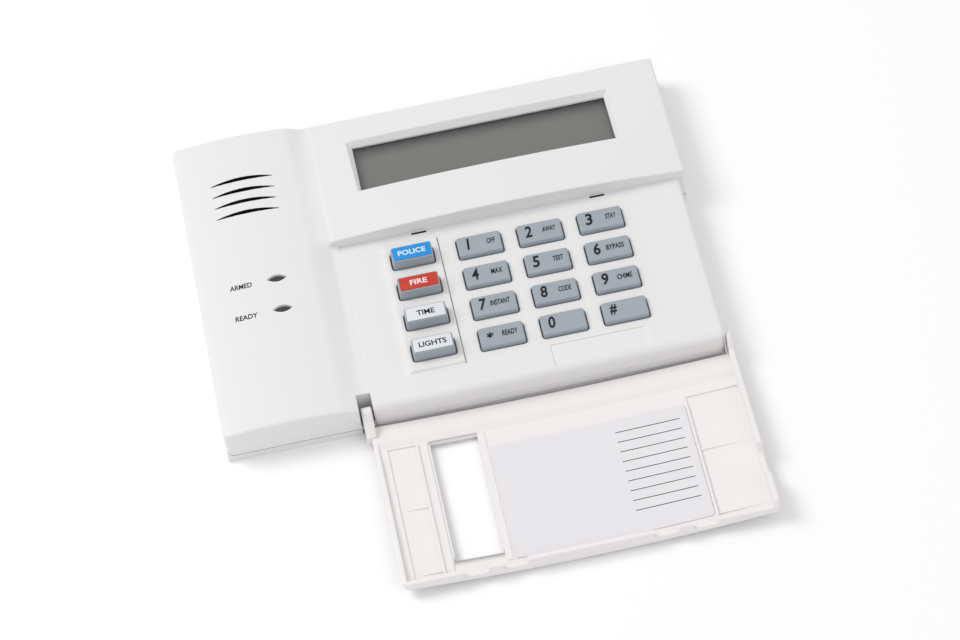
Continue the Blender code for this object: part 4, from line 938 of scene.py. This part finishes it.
@dataclass
class Deck:
    """The key section: holes for the keys, a plateau, a bare plate, latch slots and a lip."""

    plateau: Rect = Rect(-23.2 * MM, -55.7 * MM, -2.4 * MM, 3.8 * MM)
    plateau_rise: float = 0.9 * MM
    plateau_bevel: float = 0.75 * MM
    groove_width: float = 0.25 * MM
    plate: Rect = Rect(28.6 * MM, -65.0 * MM, 64.5 * MM, -55.4 * MM)
    plate_depth: float = 0.35 * MM
    latch_size: tuple[float, float] = (5.6 * MM, 0.8 * MM)
    latch_inset: float = 0.75 * MM
    latch_xs: tuple[float, float] = (DECK_LEFT + 30.3 * MM, DECK_LEFT + 98.2 * MM)
    hole_gap: float = 0.4 * MM
    hole_radius: float = 1.3 * MM
    hole_margin: float = 0.9 * MM
    wall_depth: float = 2.2 * MM
    lip: float = 3.0 * MM
    parting_z: float = 6.6 * MM

    def key_holes(self) -> list[tuple[Rect, float]]:
        """Return each key's hole and the height of the face round it."""
        found = []
        for node in [*KEY_WORDS, *(f"key_{name}" for name in FUNCTION_WORDS)]:
            hole = key_plan(node).grown(self.hole_gap)
            raised = node[4:] in FUNCTION_WORDS
            found.append((hole, DECK_Z + self.plateau_rise * raised))
        return found

    def latches(self) -> list[Rect]:
        """Return the two latch slots under the display's lower edge."""
        y = DISPLAY_BOTTOM - self.latch_inset
        return [Rect.round((x, y), self.latch_size) for x in self.latch_xs]

    def height(self, x: np.ndarray, y: np.ndarray) -> np.ndarray:
        """Height of the deck with its plateau, groove, plate recess and latch slots.

        Args:
            x: places along the panel.
            y: places up the panel.

        Returns:
            The deck's height plus a bevelled plateau, less the recesses.
        """
        pad = self.plateau
        from_left = np.minimum(x - pad.x0, (pad.x1 - x) * self.plateau_bevel / (0.3 * MM))
        from_side = np.minimum(from_left, np.minimum(y - pad.y0, pad.y1 - y))
        made = DECK_Z + self.plateau_rise * smooth(from_side / self.plateau_bevel)
        groove = Rect(pad.x1, pad.y0, pad.x1 + self.groove_width, pad.y1).inside(x, y)
        made = made - 0.7 * MM * groove
        slope = np.clip((self.plate.x1 - x) / (1.6 * MM), 0.0, 1.0)
        made = made - self.plate_depth * self.plate.inside(x, y) * slope
        for latch in self.latches():
            made = made - 2.0 * MM * latch.inside(x, y)
        return made

    def painted_shade(self, x: np.ndarray, y: np.ndarray) -> np.ndarray:
        """Return the painted shade, how dark each place is coloured where shadow falls: 1 in the latch
        slots, part way in the groove.
        """
        groove = Rect(self.plateau.x1, self.plateau.y0, self.plateau.x1 + self.groove_width, self.plateau.y1)
        made = 0.3 * groove.inside(x, y)
        for latch in self.latches():
            made = np.maximum(made, latch.grown(STEP_GAP).inside(x, y) * 1.0)
        return made

    def build(self) -> bpy.types.Object:
        """Build the deck: a height surface, a swept rim round each key and a lip with a line.

        Returns:
            The finished piece.
        """
        cells = [hole.grown(self.hole_margin) for hole, _ in self.key_holes()]
        pad = self.plateau
        marks_x = [pad.x0, *np.linspace(pad.x0, pad.x0 + self.plateau_bevel, 5), pad.x1]
        marks_x += [*np.linspace(pad.x1 - 0.3 * MM, pad.x1, 4), pad.x1 + STEP_GAP]
        groove_end = pad.x1 + self.groove_width
        marks_x += [groove_end - STEP_GAP, groove_end, self.plate.x1 - 1.6 * MM]
        marks_y = [*np.linspace(pad.y0, pad.y0 + self.plateau_bevel, 5)]
        marks_y += [*np.linspace(pad.y1 - self.plateau_bevel, pad.y1, 5)]
        for cell in cells:
            marks_x += [cell.x0, cell.x1]
            marks_y += [cell.y0, cell.y1]
        for rect in [self.plate, *self.latches(), *(slot.grown(STEP_GAP) for slot in self.latches())]:
            marks_x += rect.marks(0)
            marks_y += rect.marks(1)
        lip_marks = border_marks(BOTTOM, DISPLAY_BOTTOM, self.lip, 0.0)
        sheet = Sheet(
            Rect(DECK_LEFT, BOTTOM, DECK_RIGHT, DISPLAY_BOTTOM), self.height, 2.5 * MM,
            border=(0.12 * MM, 1.2 * MM, self.lip, 0.0), corners=(1.2 * MM, 3.0 * MM, 0.0, 0.0),
            marks_x=marks_x, marks_y=marks_y + lip_marks, holes=cells, painted_shade=self.painted_shade,
        )
        surface = Surface()
        loop = sheet.put(surface)
        line = self.parting_z
        levels = [[BACK_Z, 0.0], [line - 0.3 * MM, 0.0], [line - 0.2 * MM, 0.3 * MM]]
        levels += [[line, 0.3 * MM], [line + 0.1 * MM, 0.0]]
        surface.sweep(skirt_rings(loop, np.array(levels)))
        for hole, level in self.key_holes():
            self.put_rim(surface, hole, level)
        piece = surface.piece("deck_shell", "white_plastic")
        return settle(piece, "root", "white_plastic", "front_case")

    def put_rim(self, surface: Surface, hole: Rect, level: float) -> None:
        """Append the face round a key's hole, its softened edge and its inner wall.

        Args:
            surface: where the rim goes.
            hole: the hole's rectangle.
            level: the height of the face round it.
        """
        bend = np.linspace(0.0, math.pi / 2, 5)
        fillet = 0.25 * MM
        profile = np.stack([fillet - fillet * np.sin(bend), level - fillet + fillet * np.cos(bend)], 1)
        profile = np.vstack([profile, [0.0, level - self.wall_depth]])
        outer = square_ring(hole, self.hole_radius, self.hole_margin, level)
        rings = offset_rings(hole, self.hole_radius, profile)
        surface.sweep(np.concatenate([outer[None], rings]))


def key_plan(node: str) -> Rect:
    """Return a key's rectangle in plan at its top, from the frame.

    Args:
        node: the key's CAD node.

    Returns:
        The rectangle of the vertices within a millimetre of the key's top.
    """
    vertices = frame["nodes"][node].data.vertices
    places = np.zeros(len(vertices) * 3)
    vertices.foreach_get("co", places)
    places = places.reshape(-1, 3)
    upper = places[places[:, 2] > places[:, 2].max() - 1.0 * MM]
    low, high = upper.min(axis=0), upper.max(axis=0)
    return Rect(low[0], low[1], high[0], high[1])


@dataclass
class Key:
    """One key: a flange under the deck, drafted sides, a rounded edge and a slightly sunk top."""

    node: str
    top_inset: float = 0.15 * MM
    fillet: float = 0.55 * MM
    corner: float = 1.0 * MM
    dish: float = 0.12 * MM
    flange: float = 0.9 * MM
    flange_thick: float = 0.8 * MM

    def build(self) -> bpy.types.Object:
        """Build the key as a profile swept round its rounded rectangle.

        Returns:
            The finished piece.
        """
        low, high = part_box(self.node)
        plan = key_plan(self.node)
        base = low.z + 0.02 * MM
        bend = np.linspace(0.0, math.pi / 2, 7)
        edge = np.stack(
            [
                -self.top_inset - self.fillet * (1.0 - np.cos(bend)),
                high.z - self.fillet + self.fillet * np.sin(bend),
            ],
            axis=1,
        )
        start = np.array(
            [
                [self.flange, base],
                [self.flange, base + self.flange_thick],
                [0.0, base + self.flange_thick],
            ]
        )
        surface = Surface()
        rings = offset_rings(plan, self.corner, np.vstack([start, edge]))
        middle = np.array([(plan.x0 + plan.x1) / 2, (plan.y0 + plan.y1) / 2])
        shares = np.array([0.93, 0.8, 0.6, 0.35, 0.1, 0.01])
        inner = middle + shares[:, None, None] * (rings[-1, :, :2] - middle)
        sunk = high.z - self.dish * (1.0 - shares**2)
        heights = np.broadcast_to(sunk[:, None, None], (*inner.shape[:2], 1))
        whole = np.concatenate([rings, np.concatenate([inner, heights], axis=2)])
        surface.sweep(whole)
        surface.cap(whole[-1])
        surface.cap(whole[0][::-1])
        return settle(surface.piece(self.node + "_cap", "key_grey"), self.node, "key_grey", self.node)


@dataclass
class Sticker:
    """A label plate on a function key, with rounded corners and a softened rim."""

    name: str
    finish: str
    corner: float = 0.35 * MM

    def build(self) -> bpy.types.Object:
        """Build the sticker as a profile swept round its rounded rectangle.

        Returns:
            The finished piece.
        """
        low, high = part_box(f"sticker_{self.name}")
        plan = Rect(low.x, low.y, high.x, high.y)
        bend = np.linspace(0.0, math.pi / 2, 4)
        fillet = (high.z - low.z) / 2
        edge = np.stack([-fillet * (1.0 - np.cos(bend)), high.z - fillet * (1.0 - np.sin(bend))], 1)
        rings = offset_rings(plan, self.corner, np.vstack([[0.0, low.z], edge]))
        surface = Surface()
        surface.sweep(rings)
        surface.cap(rings[-1])
        surface.cap(rings[0][::-1])
        piece = surface.piece(f"label_{self.name}", self.finish)
        return settle(piece, f"key_{self.name}", self.finish, f"sticker_{self.name}")


class Slant(Enum):
    """How far letters lean, as shift over height."""

    UPRIGHT = 0.0
    ITALIC = 0.08


@dataclass
class Legend:
    """Printed letters, fitted to a width and height and laid on a height function."""

    name: str
    text: str
    centre: tuple[float, float]
    size: tuple[float, float]
    body: BodyName
    surface: Heights
    finish: str = "ink"
    slant: Slant = Slant.ITALIC
    weight: float = 0.02
    thick: float = 0.03 * MM

    def build(self) -> bpy.types.Object:
        """Build the letters as a mesh, fit them to their box and lay them on the surface.

        Returns:
            The finished piece.
        """
        curve = bpy.data.curves.new(self.name, "FONT")
        curve.body = self.text
        curve.offset = self.weight
        curve.extrude = 0.05
        curve.resolution_u = 4
        maker = bpy.data.objects.new(self.name + "_curve", curve)
        bpy.context.scene.collection.objects.link(maker)
        graph = bpy.context.evaluated_depsgraph_get()
        mesh = bpy.data.meshes.new_from_object(maker.evaluated_get(graph))
        bpy.data.objects.remove(maker)
        places = np.zeros(len(mesh.vertices) * 3)
        mesh.vertices.foreach_get("co", places)
        places = places.reshape(-1, 3)
        low, high = places.min(axis=0), places.max(axis=0)
        share = (places - low) / (high - low)
        lean = self.slant.value * (share[:, 1] - 0.5) * self.size[1]
        x = self.centre[0] + (share[:, 0] - 0.5) * self.size[0] + lean
        y = self.centre[1] + (share[:, 1] - 0.5) * self.size[1]
        z = self.surface(x, y) + 0.01 * MM + share[:, 2] * self.thick
        mesh.vertices.foreach_set("co", np.stack([x, y, z], axis=1).ravel())
        mesh.update()
        mesh.name = self.name
        mesh.materials.clear()
        mesh.materials.append(bpy.data.materials[self.finish + "_finish"])
        made = bpy.data.objects.new(self.name, mesh)
        bpy.context.scene.collection.objects.link(made)
        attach(made, self.body)
        return made


def level(height: float) -> Heights:
    """Return the height function of a level surface."""
    return lambda x, y: np.full(np.shape(x), height)


@dataclass
class Keypad:
    """All keys with their stickers and letters."""

    digit_offset: tuple[float, float] = (-4.2 * MM, 0.6 * MM)
    digit_size: tuple[float, float] = (2.5 * MM, 5.2 * MM)
    word_right: float = 5.9 * MM
    word_rise: float = 0.4 * MM
    word_height: float = 2.35 * MM
    label_height: float = 2.3 * MM

    def build(self) -> None:
        """Build each key, and the letters that ride on it."""
        for node, (sign, word, width) in KEY_WORDS.items():
            Key(node).build()
            plan = key_plan(node)
            top = level(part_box(node)[1].z)
            middle = ((plan.x0 + plan.x1) / 2, (plan.y0 + plan.y1) / 2)
            centre = (middle[0] + self.digit_offset[0], middle[1] + self.digit_offset[1])
            Legend(f"sign_{node}", sign, centre, self.sign_size(sign), node, top).build()
            if word:
                centre = (middle[0] + self.word_right - width / 2, middle[1] + self.word_rise)
                size = (width, self.word_height)
                Legend(f"word_{node}", word, centre, size, node, top, weight=0.01).build()
        for name, (word, width, finish, ink) in FUNCTION_WORDS.items():
            Key(f"key_{name}", top_inset=0.25 * MM, fillet=0.4 * MM, corner=1.1 * MM, dish=0.0).build()
            Sticker(name, finish).build()
            low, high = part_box(f"sticker_{name}")
            Legend(
                f"word_{name}", word, ((low.x + high.x) / 2, (low.y + high.y) / 2),
                (width, self.label_height), f"key_{name}", level(high.z), ink, Slant.UPRIGHT, 0.02,
            ).build()

    def sign_size(self, sign: str) -> tuple[float, float]:
        """Return the width and height of a key's digit or sign."""
        width, height = self.digit_size
        return {"*": (width, width), "1": (width * 0.3, height), "#": (width, height * 0.9)}.get(
            sign, (width, height)
        )


def turn_open(points: np.ndarray) -> np.ndarray:
    """Turn points of the shut door to where the open door holds them.

    Args:
        points: rows of x, y and z on the shut door.

    Returns:
        The points turned about the hinge line by the joint's whole range.
    """
    turn = Matrix.Rotation(SHUT_ANGLE, 3, "X")
    return (points - np.array(HINGE)) @ np.array(turn).T + np.array(HINGE)


def turn_piece(piece: bpy.types.Object) -> bpy.types.Object:
    """Turn a piece's own vertices from the shut to the open door."""
    places = np.zeros(len(piece.data.vertices) * 3)
    piece.data.vertices.foreach_get("co", places)
    turned = turn_open(places.reshape(-1, 3))
    piece.data.vertices.foreach_set("co", turned.ravel())
    piece.data.update()
    return piece


@dataclass
class Door:
    """The flip-down door, built shut and turned open: a shallow tray with a window and ribs."""

    plan: Rect = Rect(-41.4 * MM, -62.3 * MM, 93.4 * MM, 8.0 * MM)
    wall: float = 1.6 * MM
    side_wall: float = 2.0 * MM
    rim_z: float = 13.9 * MM
    side_rim_z: float = 10.2 * MM
    grip: tuple[float, float] = (-19.0 * MM, -5.0 * MM)
    grip_rise: float = 4.0 * MM
    window: Rect = Rect(-21.5 * MM, -51.9 * MM, -4.1 * MM, 0.0)
    cut_width: float = 23.0 * MM
    cut_rise: float = 2.4 * MM
    nib_size: tuple[float, float] = (5.0 * MM, 1.9 * MM)
    latch_xs: tuple[float, float] = (DECK_LEFT + 30.3 * MM, DECK_LEFT + 98.2 * MM)
    card: Rect = Rect(-0.55 * MM, -45.5 * MM, 70.95 * MM, 3.5 * MM)
    rib_height: float = 0.5 * MM
    field_depth: float = 0.6 * MM
    slot_depth: float = 0.8 * MM
    band_rise: float = 0.4 * MM
    hinge_rise: float = 1.1 * MM
    hinge_step_y: float = -52.8 * MM
    chamfer: float = 1.6 * MM
    knuckle_radius: float = 2.4 * MM
    rule_count: int = 9
    rule_spans: tuple[float, float] = (44.4 * MM, 68.0 * MM)

    def outer(self, x: np.ndarray, y: np.ndarray) -> np.ndarray:
        """Height of the shut door's outer face.

        Args:
            x: places along the panel.
            y: places up the panel.

        Returns:
            Straight in y between two arched ends.
        """
        free = DISPLAY_LOW_Z - 0.2 * MM - DISPLAY_SAG * across(x)
        hinge = DECK_Z + 4.4 * MM - 1.6 * MM * across(x)
        return hinge + (free - hinge) * (y - self.plan.y0) / (self.plan.y1 - self.plan.y0)

    def inner(self, x: np.ndarray, y: np.ndarray) -> np.ndarray:
        """Return the height of the shut door's inner face."""
        return self.outer(x, y) - self.wall

    def in_walls(self, x: np.ndarray, y: np.ndarray) -> dict[str, np.ndarray]:
        """Return where places lie in the left, right and free walls."""
        half = STEP_GAP / 2
        return {
            "left": x < self.plan.x0 + self.wall + half,
            "right": x > self.plan.x1 - self.side_wall - half,
            "free": y > self.plan.y1 - self.wall - half,
        }

    def lining(self, x: np.ndarray, y: np.ndarray) -> np.ndarray:
        """Height of the inside: panel, ribs, card frame and the rims of the walls.

        Args:
            x: places along the panel.
            y: places up the panel.

        Returns:
            The inner face, lowered towards the viewer by ribs and walls.
        """
        made = self.inner(x, y) + self.field_depth * self.in_fields(x, y)
        made = made + self.slot_depth * self.card_slot().inside(x, y)
        near_card = np.clip((self.card.y0 - 0.8 * MM - y) / self.chamfer, 0.0, 1.0)
        near_hinge = np.clip((self.hinge_step_y - y) / self.chamfer, 0.0, 1.0)
        made = made - self.band_rise * near_card - self.hinge_rise * near_hinge
        made = made - self.rib_height * self.on_rib(x, y)
        walls = self.in_walls(x, y)
        rim = np.full(x.shape, self.rim_z)
        for cut in self.cuts():
            rim = rim + self.cut_rise * cut.inside(x, y)
        side = np.full(x.shape, self.side_rim_z)
        low, high = self.grip
        ramp = smooth((y - low) / (3.0 * MM)) * smooth((high - y) / (3.0 * MM))
        side = side + self.grip_rise * ramp
        made = np.where(walls["left"] | walls["free"], np.minimum(rim, made), made)
        return np.where(walls["right"], side, made)

    def cuts(self) -> list[Rect]:
        """Return the cuts in the free wall: one on each side of each nib."""
        made = []
        for centre in self.latch_xs:
            for side in (-1, 1):
                ends = sorted((centre + side * self.nib_size[0] / 2, centre + side * self.cut_width / 2))
                made.append(Rect(ends[0], self.plan.y1 - self.wall - MM, ends[1], self.plan.y1 + MM))
        return made

    def card_slot(self) -> Rect:
        """Return the long slot along the free wall that the card's edge slides into."""
        middle = sum(self.latch_xs) / 2
        high = self.plan.y1 - self.wall - 0.2 * MM
        return Rect(middle - 19.5 * MM, self.card.y1 + 0.3 * MM, middle + 19.5 * MM, high)

    def fields(self) -> list[Rect]:
        """Return the sunk fields left of the window and right of the card."""
        high = self.plan.y1 - self.wall
        left = Rect(self.plan.x0 + self.wall + 3.0 * MM, self.window.y0, self.window.x0 - 5.2 * MM, high)
        right_x = self.plan.x1 - self.side_wall
        right = Rect(self.card.x1 + 1.2 * MM, self.card.y0 - 3.0 * MM, right_x, high)
        return [left, right]

    def in_fields(self, x: np.ndarray, y: np.ndarray) -> np.ndarray:
        """Return 1 in the sunk fields and 0 elsewhere."""
        left, right = self.fields()
        return (left.inside(x, y) | right.inside(x, y)) * 1.0

    def on_rib(self, x: np.ndarray, y: np.ndarray) -> np.ndarray:
        """Height of the ribs in rib heights; those in the fields fade away from the middle.

        Args:
            x: places along the panel.
            y: places up the panel.

        Returns:
            The largest rise among the ribs at each place.
        """
        made = np.zeros(x.shape)
        for rect, rise in self.ribs():
            made = np.maximum(made, rise * rect.inside(x, y))
        for field_rect in self.fields():
            inner_x = field_rect.x1 if field_rect.x1 < self.window.x0 else field_rect.x0
            share = 1.0 - np.abs(x - inner_x) / (field_rect.x1 - field_rect.x0)
            for rib in self.field_ribs(field_rect):
                made = np.maximum(made, 1.3 * share * rib.inside(x, y))
        return made

    def field_ribs(self, field_rect: Rect) -> list[Rect]:
        """Return the two thin ribs across a sunk field."""
        half = 0.3 * MM
        places = (-25.0 * MM, 3.0 * MM)
        return [Rect(field_rect.x0, y - half, field_rect.x1, y + half) for y in places]

    def ribs(self) -> list[tuple[Rect, float]]:
        """Return each rib's rectangle and its height in rib heights."""
        card, window = self.card, self.window
        return [
            (Rect(card.x1 + 0.3 * MM, card.y0, card.x1 + 1.2 * MM, self.plan.y1), 1.0),
            (Rect(window.x1 + 0.6 * MM, window.y0, card.x0 - 0.9 * MM, card.y1), 0.7),
            (Rect(window.x0 - 5.2 * MM, window.y0, window.x0 - 4.2 * MM, self.plan.y1), 1.6),
            (Rect(window.x0 - 2.6 * MM, window.y0, window.x0 - 1.0 * MM, self.plan.y1), 1.0),
        ]

    def rect_loop(self, sheet: Sheet, rect: Rect) -> np.ndarray:
        """Return the sheet's points round a rectangle of grid lines, anticlockwise from above."""
        xs, ys = sheet.lines()
        grid = sheet.points()
        i0, i1 = (int(np.abs(xs - x).argmin()) for x in (rect.x0, rect.x1))
        j0, j1 = (int(np.abs(ys - y).argmin()) for y in (rect.y0, rect.y1))
        part = grid[j0 : j1 + 1, i0 : i1 + 1]
        return np.concatenate([part[0, :-1], part[:-1, -1], part[-1, :0:-1], part[:0:-1, 0]])

    def sheets(self) -> tuple[Sheet, Sheet]:
        """Return the outer and the inner sheet, which share their grid lines."""
        marks_x, marks_y = self.window.marks(0), self.window.marks(1)
        marks_x += [self.plan.x0 + self.wall, self.plan.x0 + self.wall + STEP_GAP]
        marks_x += [self.plan.x1 - self.side_wall, self.plan.x1 - self.side_wall - STEP_GAP]
        marks_y += [self.plan.y1 - self.wall, self.plan.y1 - self.wall - STEP_GAP]
        ribs = [rect for rect, _ in self.ribs()]
        fields = self.fields()
        field_ribs = [rib for part in fields for rib in self.field_ribs(part)]
        for rect in [*ribs, *fields, *field_ribs, *self.cuts(), self.card_slot()]:
            marks_x += rect.marks(0)
            marks_y += rect.marks(1)
        for foot in (self.card.y0 - 0.8 * MM, self.hinge_step_y):
            marks_y += [foot - self.chamfer, foot]
        marks_y += np.linspace(self.grip[0], self.grip[1], 24).tolist()
        border = (1.0 * MM, 1.0 * MM, 0.6 * MM, 1.0 * MM)
        shared = {
            "step": 3.0 * MM, "corners": (0.0, 0.0, 2.0 * MM, 2.0 * MM),
            "marks_x": marks_x + border_marks(self.plan.x0, self.plan.x1, 1.0 * MM, 1.0 * MM),
            "marks_y": marks_y + border_marks(self.plan.y0, self.plan.y1, 0.6 * MM, 1.0 * MM),
            "holes": [self.window],
        }
        rim_border = (0.5 * MM, 0.7 * MM, 0.3 * MM, 0.5 * MM)
        shared["marks_x"] += border_marks(self.plan.x0, self.plan.x1, 0.5 * MM, 0.7 * MM)
        shared["marks_y"] += border_marks(self.plan.y0, self.plan.y1, 0.3 * MM, 0.5 * MM)
        outer = Sheet(self.plan, self.outer, border=border, **shared)
        inner = Sheet(self.plan, self.lining, border=rim_border, outward=-1.0, **shared)
        common_x = np.union1d(outer.lines()[0], inner.lines()[0]).tolist()
        common_y = np.union1d(outer.lines()[1], inner.lines()[1]).tolist()
        for sheet in (outer, inner):
            sheet.marks_x, sheet.marks_y, sheet.step = common_x, common_y, 1.0
        return outer, inner

    def build(self) -> bpy.types.Object:
        """Build the tray, its ears and knuckles, and turn them open.

        Returns:
            The finished piece.
        """
        outer, inner = self.sheets()
        surface = Surface()
        outer_loop = outer.put(surface)
        inner_loop = inner.put(surface)
        surface.sweep(np.stack([inner_loop, outer_loop]))
        window_loops = [self.rect_loop(sheet, self.window) for sheet in (outer, inner)]
        surface.sweep(np.stack(window_loops))
        for low_x, high_x in ((-43.2 * MM, -39.4 * MM), (91.5 * MM, 93.35 * MM)):
            self.put_ear(surface, low_x, high_x)
        piece = turn_piece(surface.piece("door_shell", "door_plastic", sharp=35.0))
        return settle(piece, "door", "white_plastic", "door")

    def put_ear(self, surface: Surface, low_x: float, high_x: float) -> None:
        """Append an ear: a rounded outline from the panel round the hinge, swept along x.

        Args:
            surface: where the ear goes.
            low_x: its left end.
            high_x: its right end.
        """
        radius = self.knuckle_radius
        turn = np.linspace(math.pi * 1.02, math.pi * 1.85, 14)
        knuckle = np.stack([HINGE.y + radius * np.cos(turn), HINGE.z + radius * np.sin(turn)], 1)
        top = float(self.outer(np.array((low_x + high_x) / 2), np.array(self.plan.y0)))
        far_y = self.plan.y0 + 5.0 * MM
        bend = np.linspace(0.0, math.pi / 2, 6)
        shoulder_y = HINGE.y - radius + 2.2 * MM - 2.2 * MM * np.sin(bend)
        shoulder_z = top - 2.2 * MM + 2.2 * MM * np.cos(bend)
        outline = np.vstack(
            [
                knuckle,
                [far_y, self.rim_z - 1.0 * MM],
                [far_y, top - 0.1 * MM],
                np.stack([shoulder_y, shoulder_z - 0.1 * MM], axis=1),
            ]
        )
        middle = outline.mean(axis=0)
        fillet = 0.4 * MM
        ends = [(low_x, 1), (low_x + fillet * 0.3, 0.5), (low_x + fillet, 0)]
        ends += [(high_x - fillet, 0), (high_x - fillet * 0.3, 0.5), (high_x, 1)]
        rings = []
        for x, inset in ends:
            away = outline - middle
            reach = np.linalg.norm(away, axis=1, keepdims=True)
            shrunk = middle + away * (1.0 - inset * fillet / reach)
            rings.append(np.column_stack([np.full(len(shrunk), x), shrunk]))
        whole = np.stack(rings)
        surface.sweep(whole)
        surface.cap(whole[-1])
        surface.cap(whole[0][::-1])

    def build_card(self) -> None:
        """Build the blank instruction card and its ruled lines, a hair off the inner face."""
        card_gap, card_thick = 0.1 * MM, 0.25 * MM
        near: Heights = lambda x, y: self.inner(x, y) - card_gap
        front: Heights = lambda x, y: self.inner(x, y) - card_gap - card_thick
        surface = Surface()
        shared = {"step": 3.0 * MM, "corners": (0.8 * MM,) * 4}
        back_loop = Sheet(self.card, near, **shared).put(surface)
        front_loop = Sheet(self.card, front, outward=-1.0, **shared).put(surface)
        surface.sweep(np.stack([front_loop, back_loop]))
        piece = turn_piece(surface.piece("card_sheet", "paper"))
        settle(piece, "door", "paper", "instruction_card")
        rules = Surface()
        raised: Heights = lambda x, y: front(x, y) - 0.02 * MM
        for y in np.linspace(-40.0 * MM, -5.8 * MM, self.rule_count):
            strip = Rect(self.rule_spans[0], y - 0.15 * MM, self.rule_spans[1], y + 0.15 * MM)
            Sheet(strip, raised, 3.0 * MM, outward=-1.0).put(rules)
        ruled = turn_piece(rules.piece("card_rules", "ink"))
        settle(ruled, "door", "paper")


@dataclass
class Studio:
    """Floor, lamps, white surroundings and the camera."""

    azimuth: float = 4.27
    elevation: float = 53.31
    roll: float = -8.29
    lens: float = 125.9
    distance: float = 1257.9 * MM
    aim: tuple[float, float] = (11.97 * MM, -20.32 * MM)
    floor_half: float = 1.6
    ambient: float = 0.68
    key_power: float = 15.0
    fill_power: float = 3.5

    def camera_axes(self) -> tuple[Vector, Vector, Vector]:
        """Return the camera's right, up and backward directions."""
        azimuth, elevation = math.radians(self.azimuth), math.radians(self.elevation)
        back = Vector(
            (
                -math.sin(azimuth) * math.cos(elevation),
                -math.cos(azimuth) * math.cos(elevation),
                math.sin(elevation),
            )
        )
        level_right = Vector((0.0, 0.0, 1.0)).cross(back).normalized()
        level_up = back.cross(level_right)
        roll = math.radians(self.roll)
        right = level_right * math.cos(roll) + level_up * math.sin(roll)
        up = level_up * math.cos(roll) - level_right * math.sin(roll)
        return right, up, back

    def build_camera(self) -> None:
        """Place the camera and make it the scene's."""
        right, up, back = self.camera_axes()
        data = bpy.data.cameras.new("camera")
        data.lens = self.lens
        data.sensor_width = 36.0
        data.clip_start, data.clip_end = 0.05, 20.0
        camera = bpy.data.objects.new("camera", data)
        place = right * self.aim[0] + up * self.aim[1] + back * self.distance
        turn = Matrix((right, up, back)).transposed().to_4x4()
        camera.matrix_world = Matrix.Translation(place) @ turn
        bpy.context.scene.collection.objects.link(camera)
        bpy.context.scene.camera = camera

    def build_floor(self) -> None:
        """Lay the pale floor under the panel, as a grid that curves up far behind it."""
        half = self.floor_half
        xs = np.linspace(-half, half, 33)
        x, y = np.meshgrid(xs, xs)
        lift = 0.25 * np.maximum(y - 0.9 * half, 0.0) ** 2 / half
        surface = Surface()
        points = np.stack([x, y, lift], axis=2).reshape(-1, 3)
        surface.add(points, grid_faces(len(xs), len(xs)))
        surface.piece("floor", "floor_paint")

    def lamp(self, name: str, place: tuple[float, float, float], size: float, power: float) -> None:
        """Add a square area lamp that looks at the panel's middle.

        Args:
            name: the lamp's name.
            place: where it hangs.
            size: the length of its side.
            power: its power in watts.
        """
        data = bpy.data.lights.new(name, "AREA")
        data.size = size
        data.energy = power
        made = bpy.data.objects.new(name, data)
        made.location = place
        made.rotation_euler = (-Vector(place)).to_track_quat("-Z", "Y").to_euler()
        bpy.context.scene.collection.objects.link(made)

    def build_world(self) -> None:
        """Give the scene even light, and pure white where the camera sees past the floor."""
        world = bpy.data.worlds.new("studio")
        world.use_nodes = True
        tree = world.node_tree
        tree.nodes.clear()
        path = tree.nodes.new("ShaderNodeLightPath")
        soft = tree.nodes.new("ShaderNodeBackground")
        soft.inputs["Strength"].default_value = self.ambient
        white = tree.nodes.new("ShaderNodeBackground")
        white.inputs["Strength"].default_value = 1.0
        for light in (soft, white):
            light.inputs["Color"].default_value = (1.0, 1.0, 1.0, 1.0)
        mix = tree.nodes.new("ShaderNodeMixShader")
        output = tree.nodes.new("ShaderNodeOutputWorld")
        tree.links.new(path.outputs["Is Camera Ray"], mix.inputs[0])
        tree.links.new(soft.outputs[0], mix.inputs[1])
        tree.links.new(white.outputs[0], mix.inputs[2])
        tree.links.new(mix.outputs[0], output.inputs["Surface"])
        bpy.context.scene.world = world

    def build(self) -> None:
        """Build the whole studio."""
        self.build_camera()
        self.build_floor()
        self.build_world()
        self.lamp("key_lamp", (-1.1, 0.5, 1.5), 0.9, self.key_power)
        self.lamp("fill_lamp", (0.9, -1.0, 1.2), 1.2, self.fill_power)
        view = bpy.context.scene.view_settings
        view.view_transform = "Standard"


def dress_nodes() -> None:
    """Give every CAD node its finish, by its own name or its name without the number."""
    for name, node in frame["nodes"].items():
        stem = name.rstrip("_0123456789")
        finish = NODE_FINISHES.get(name) or NODE_FINISHES.get(stem)
        if finish is None:
            finish = "white_plastic"
        node.data.materials.clear()
        node.data.materials.append(bpy.data.materials[finish + "_finish"])


def build_wing_words(wing: Wing) -> None:
    """Print the names of the two status lights on the wing."""
    for name, lens in (("ARMED", "armed_lens"), ("READY", "ready_lens")):
        low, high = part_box(lens)
        centre = (low.x - 10.2 * MM, (low.y + high.y) / 2 - 0.6 * MM)
        Legend(
            f"word_{name.lower()}", name, centre, (8.3 * MM, 2.2 * MM), "root", wing.height,
            slant=Slant.ITALIC, weight=0.02,
        ).build()


def main() -> None:
    """Build every piece in order."""
    logging.basicConfig(level=logging.INFO, format="%(message)s")
    for finish in FINISHES.values():
        finish.material()
    Finish("floor_paint", **two_tones(252, 252, 253, 1.0), roughness=0.9).material()
    dress_nodes()
    wing = Wing()
    wing.build()
    Display().build()
    Deck().build()
    Keypad().build()
    build_wing_words(wing)
    door = Door()
    door.build()
    door.build_card()
    Studio().build()


if __name__ == "__main__":
    main()
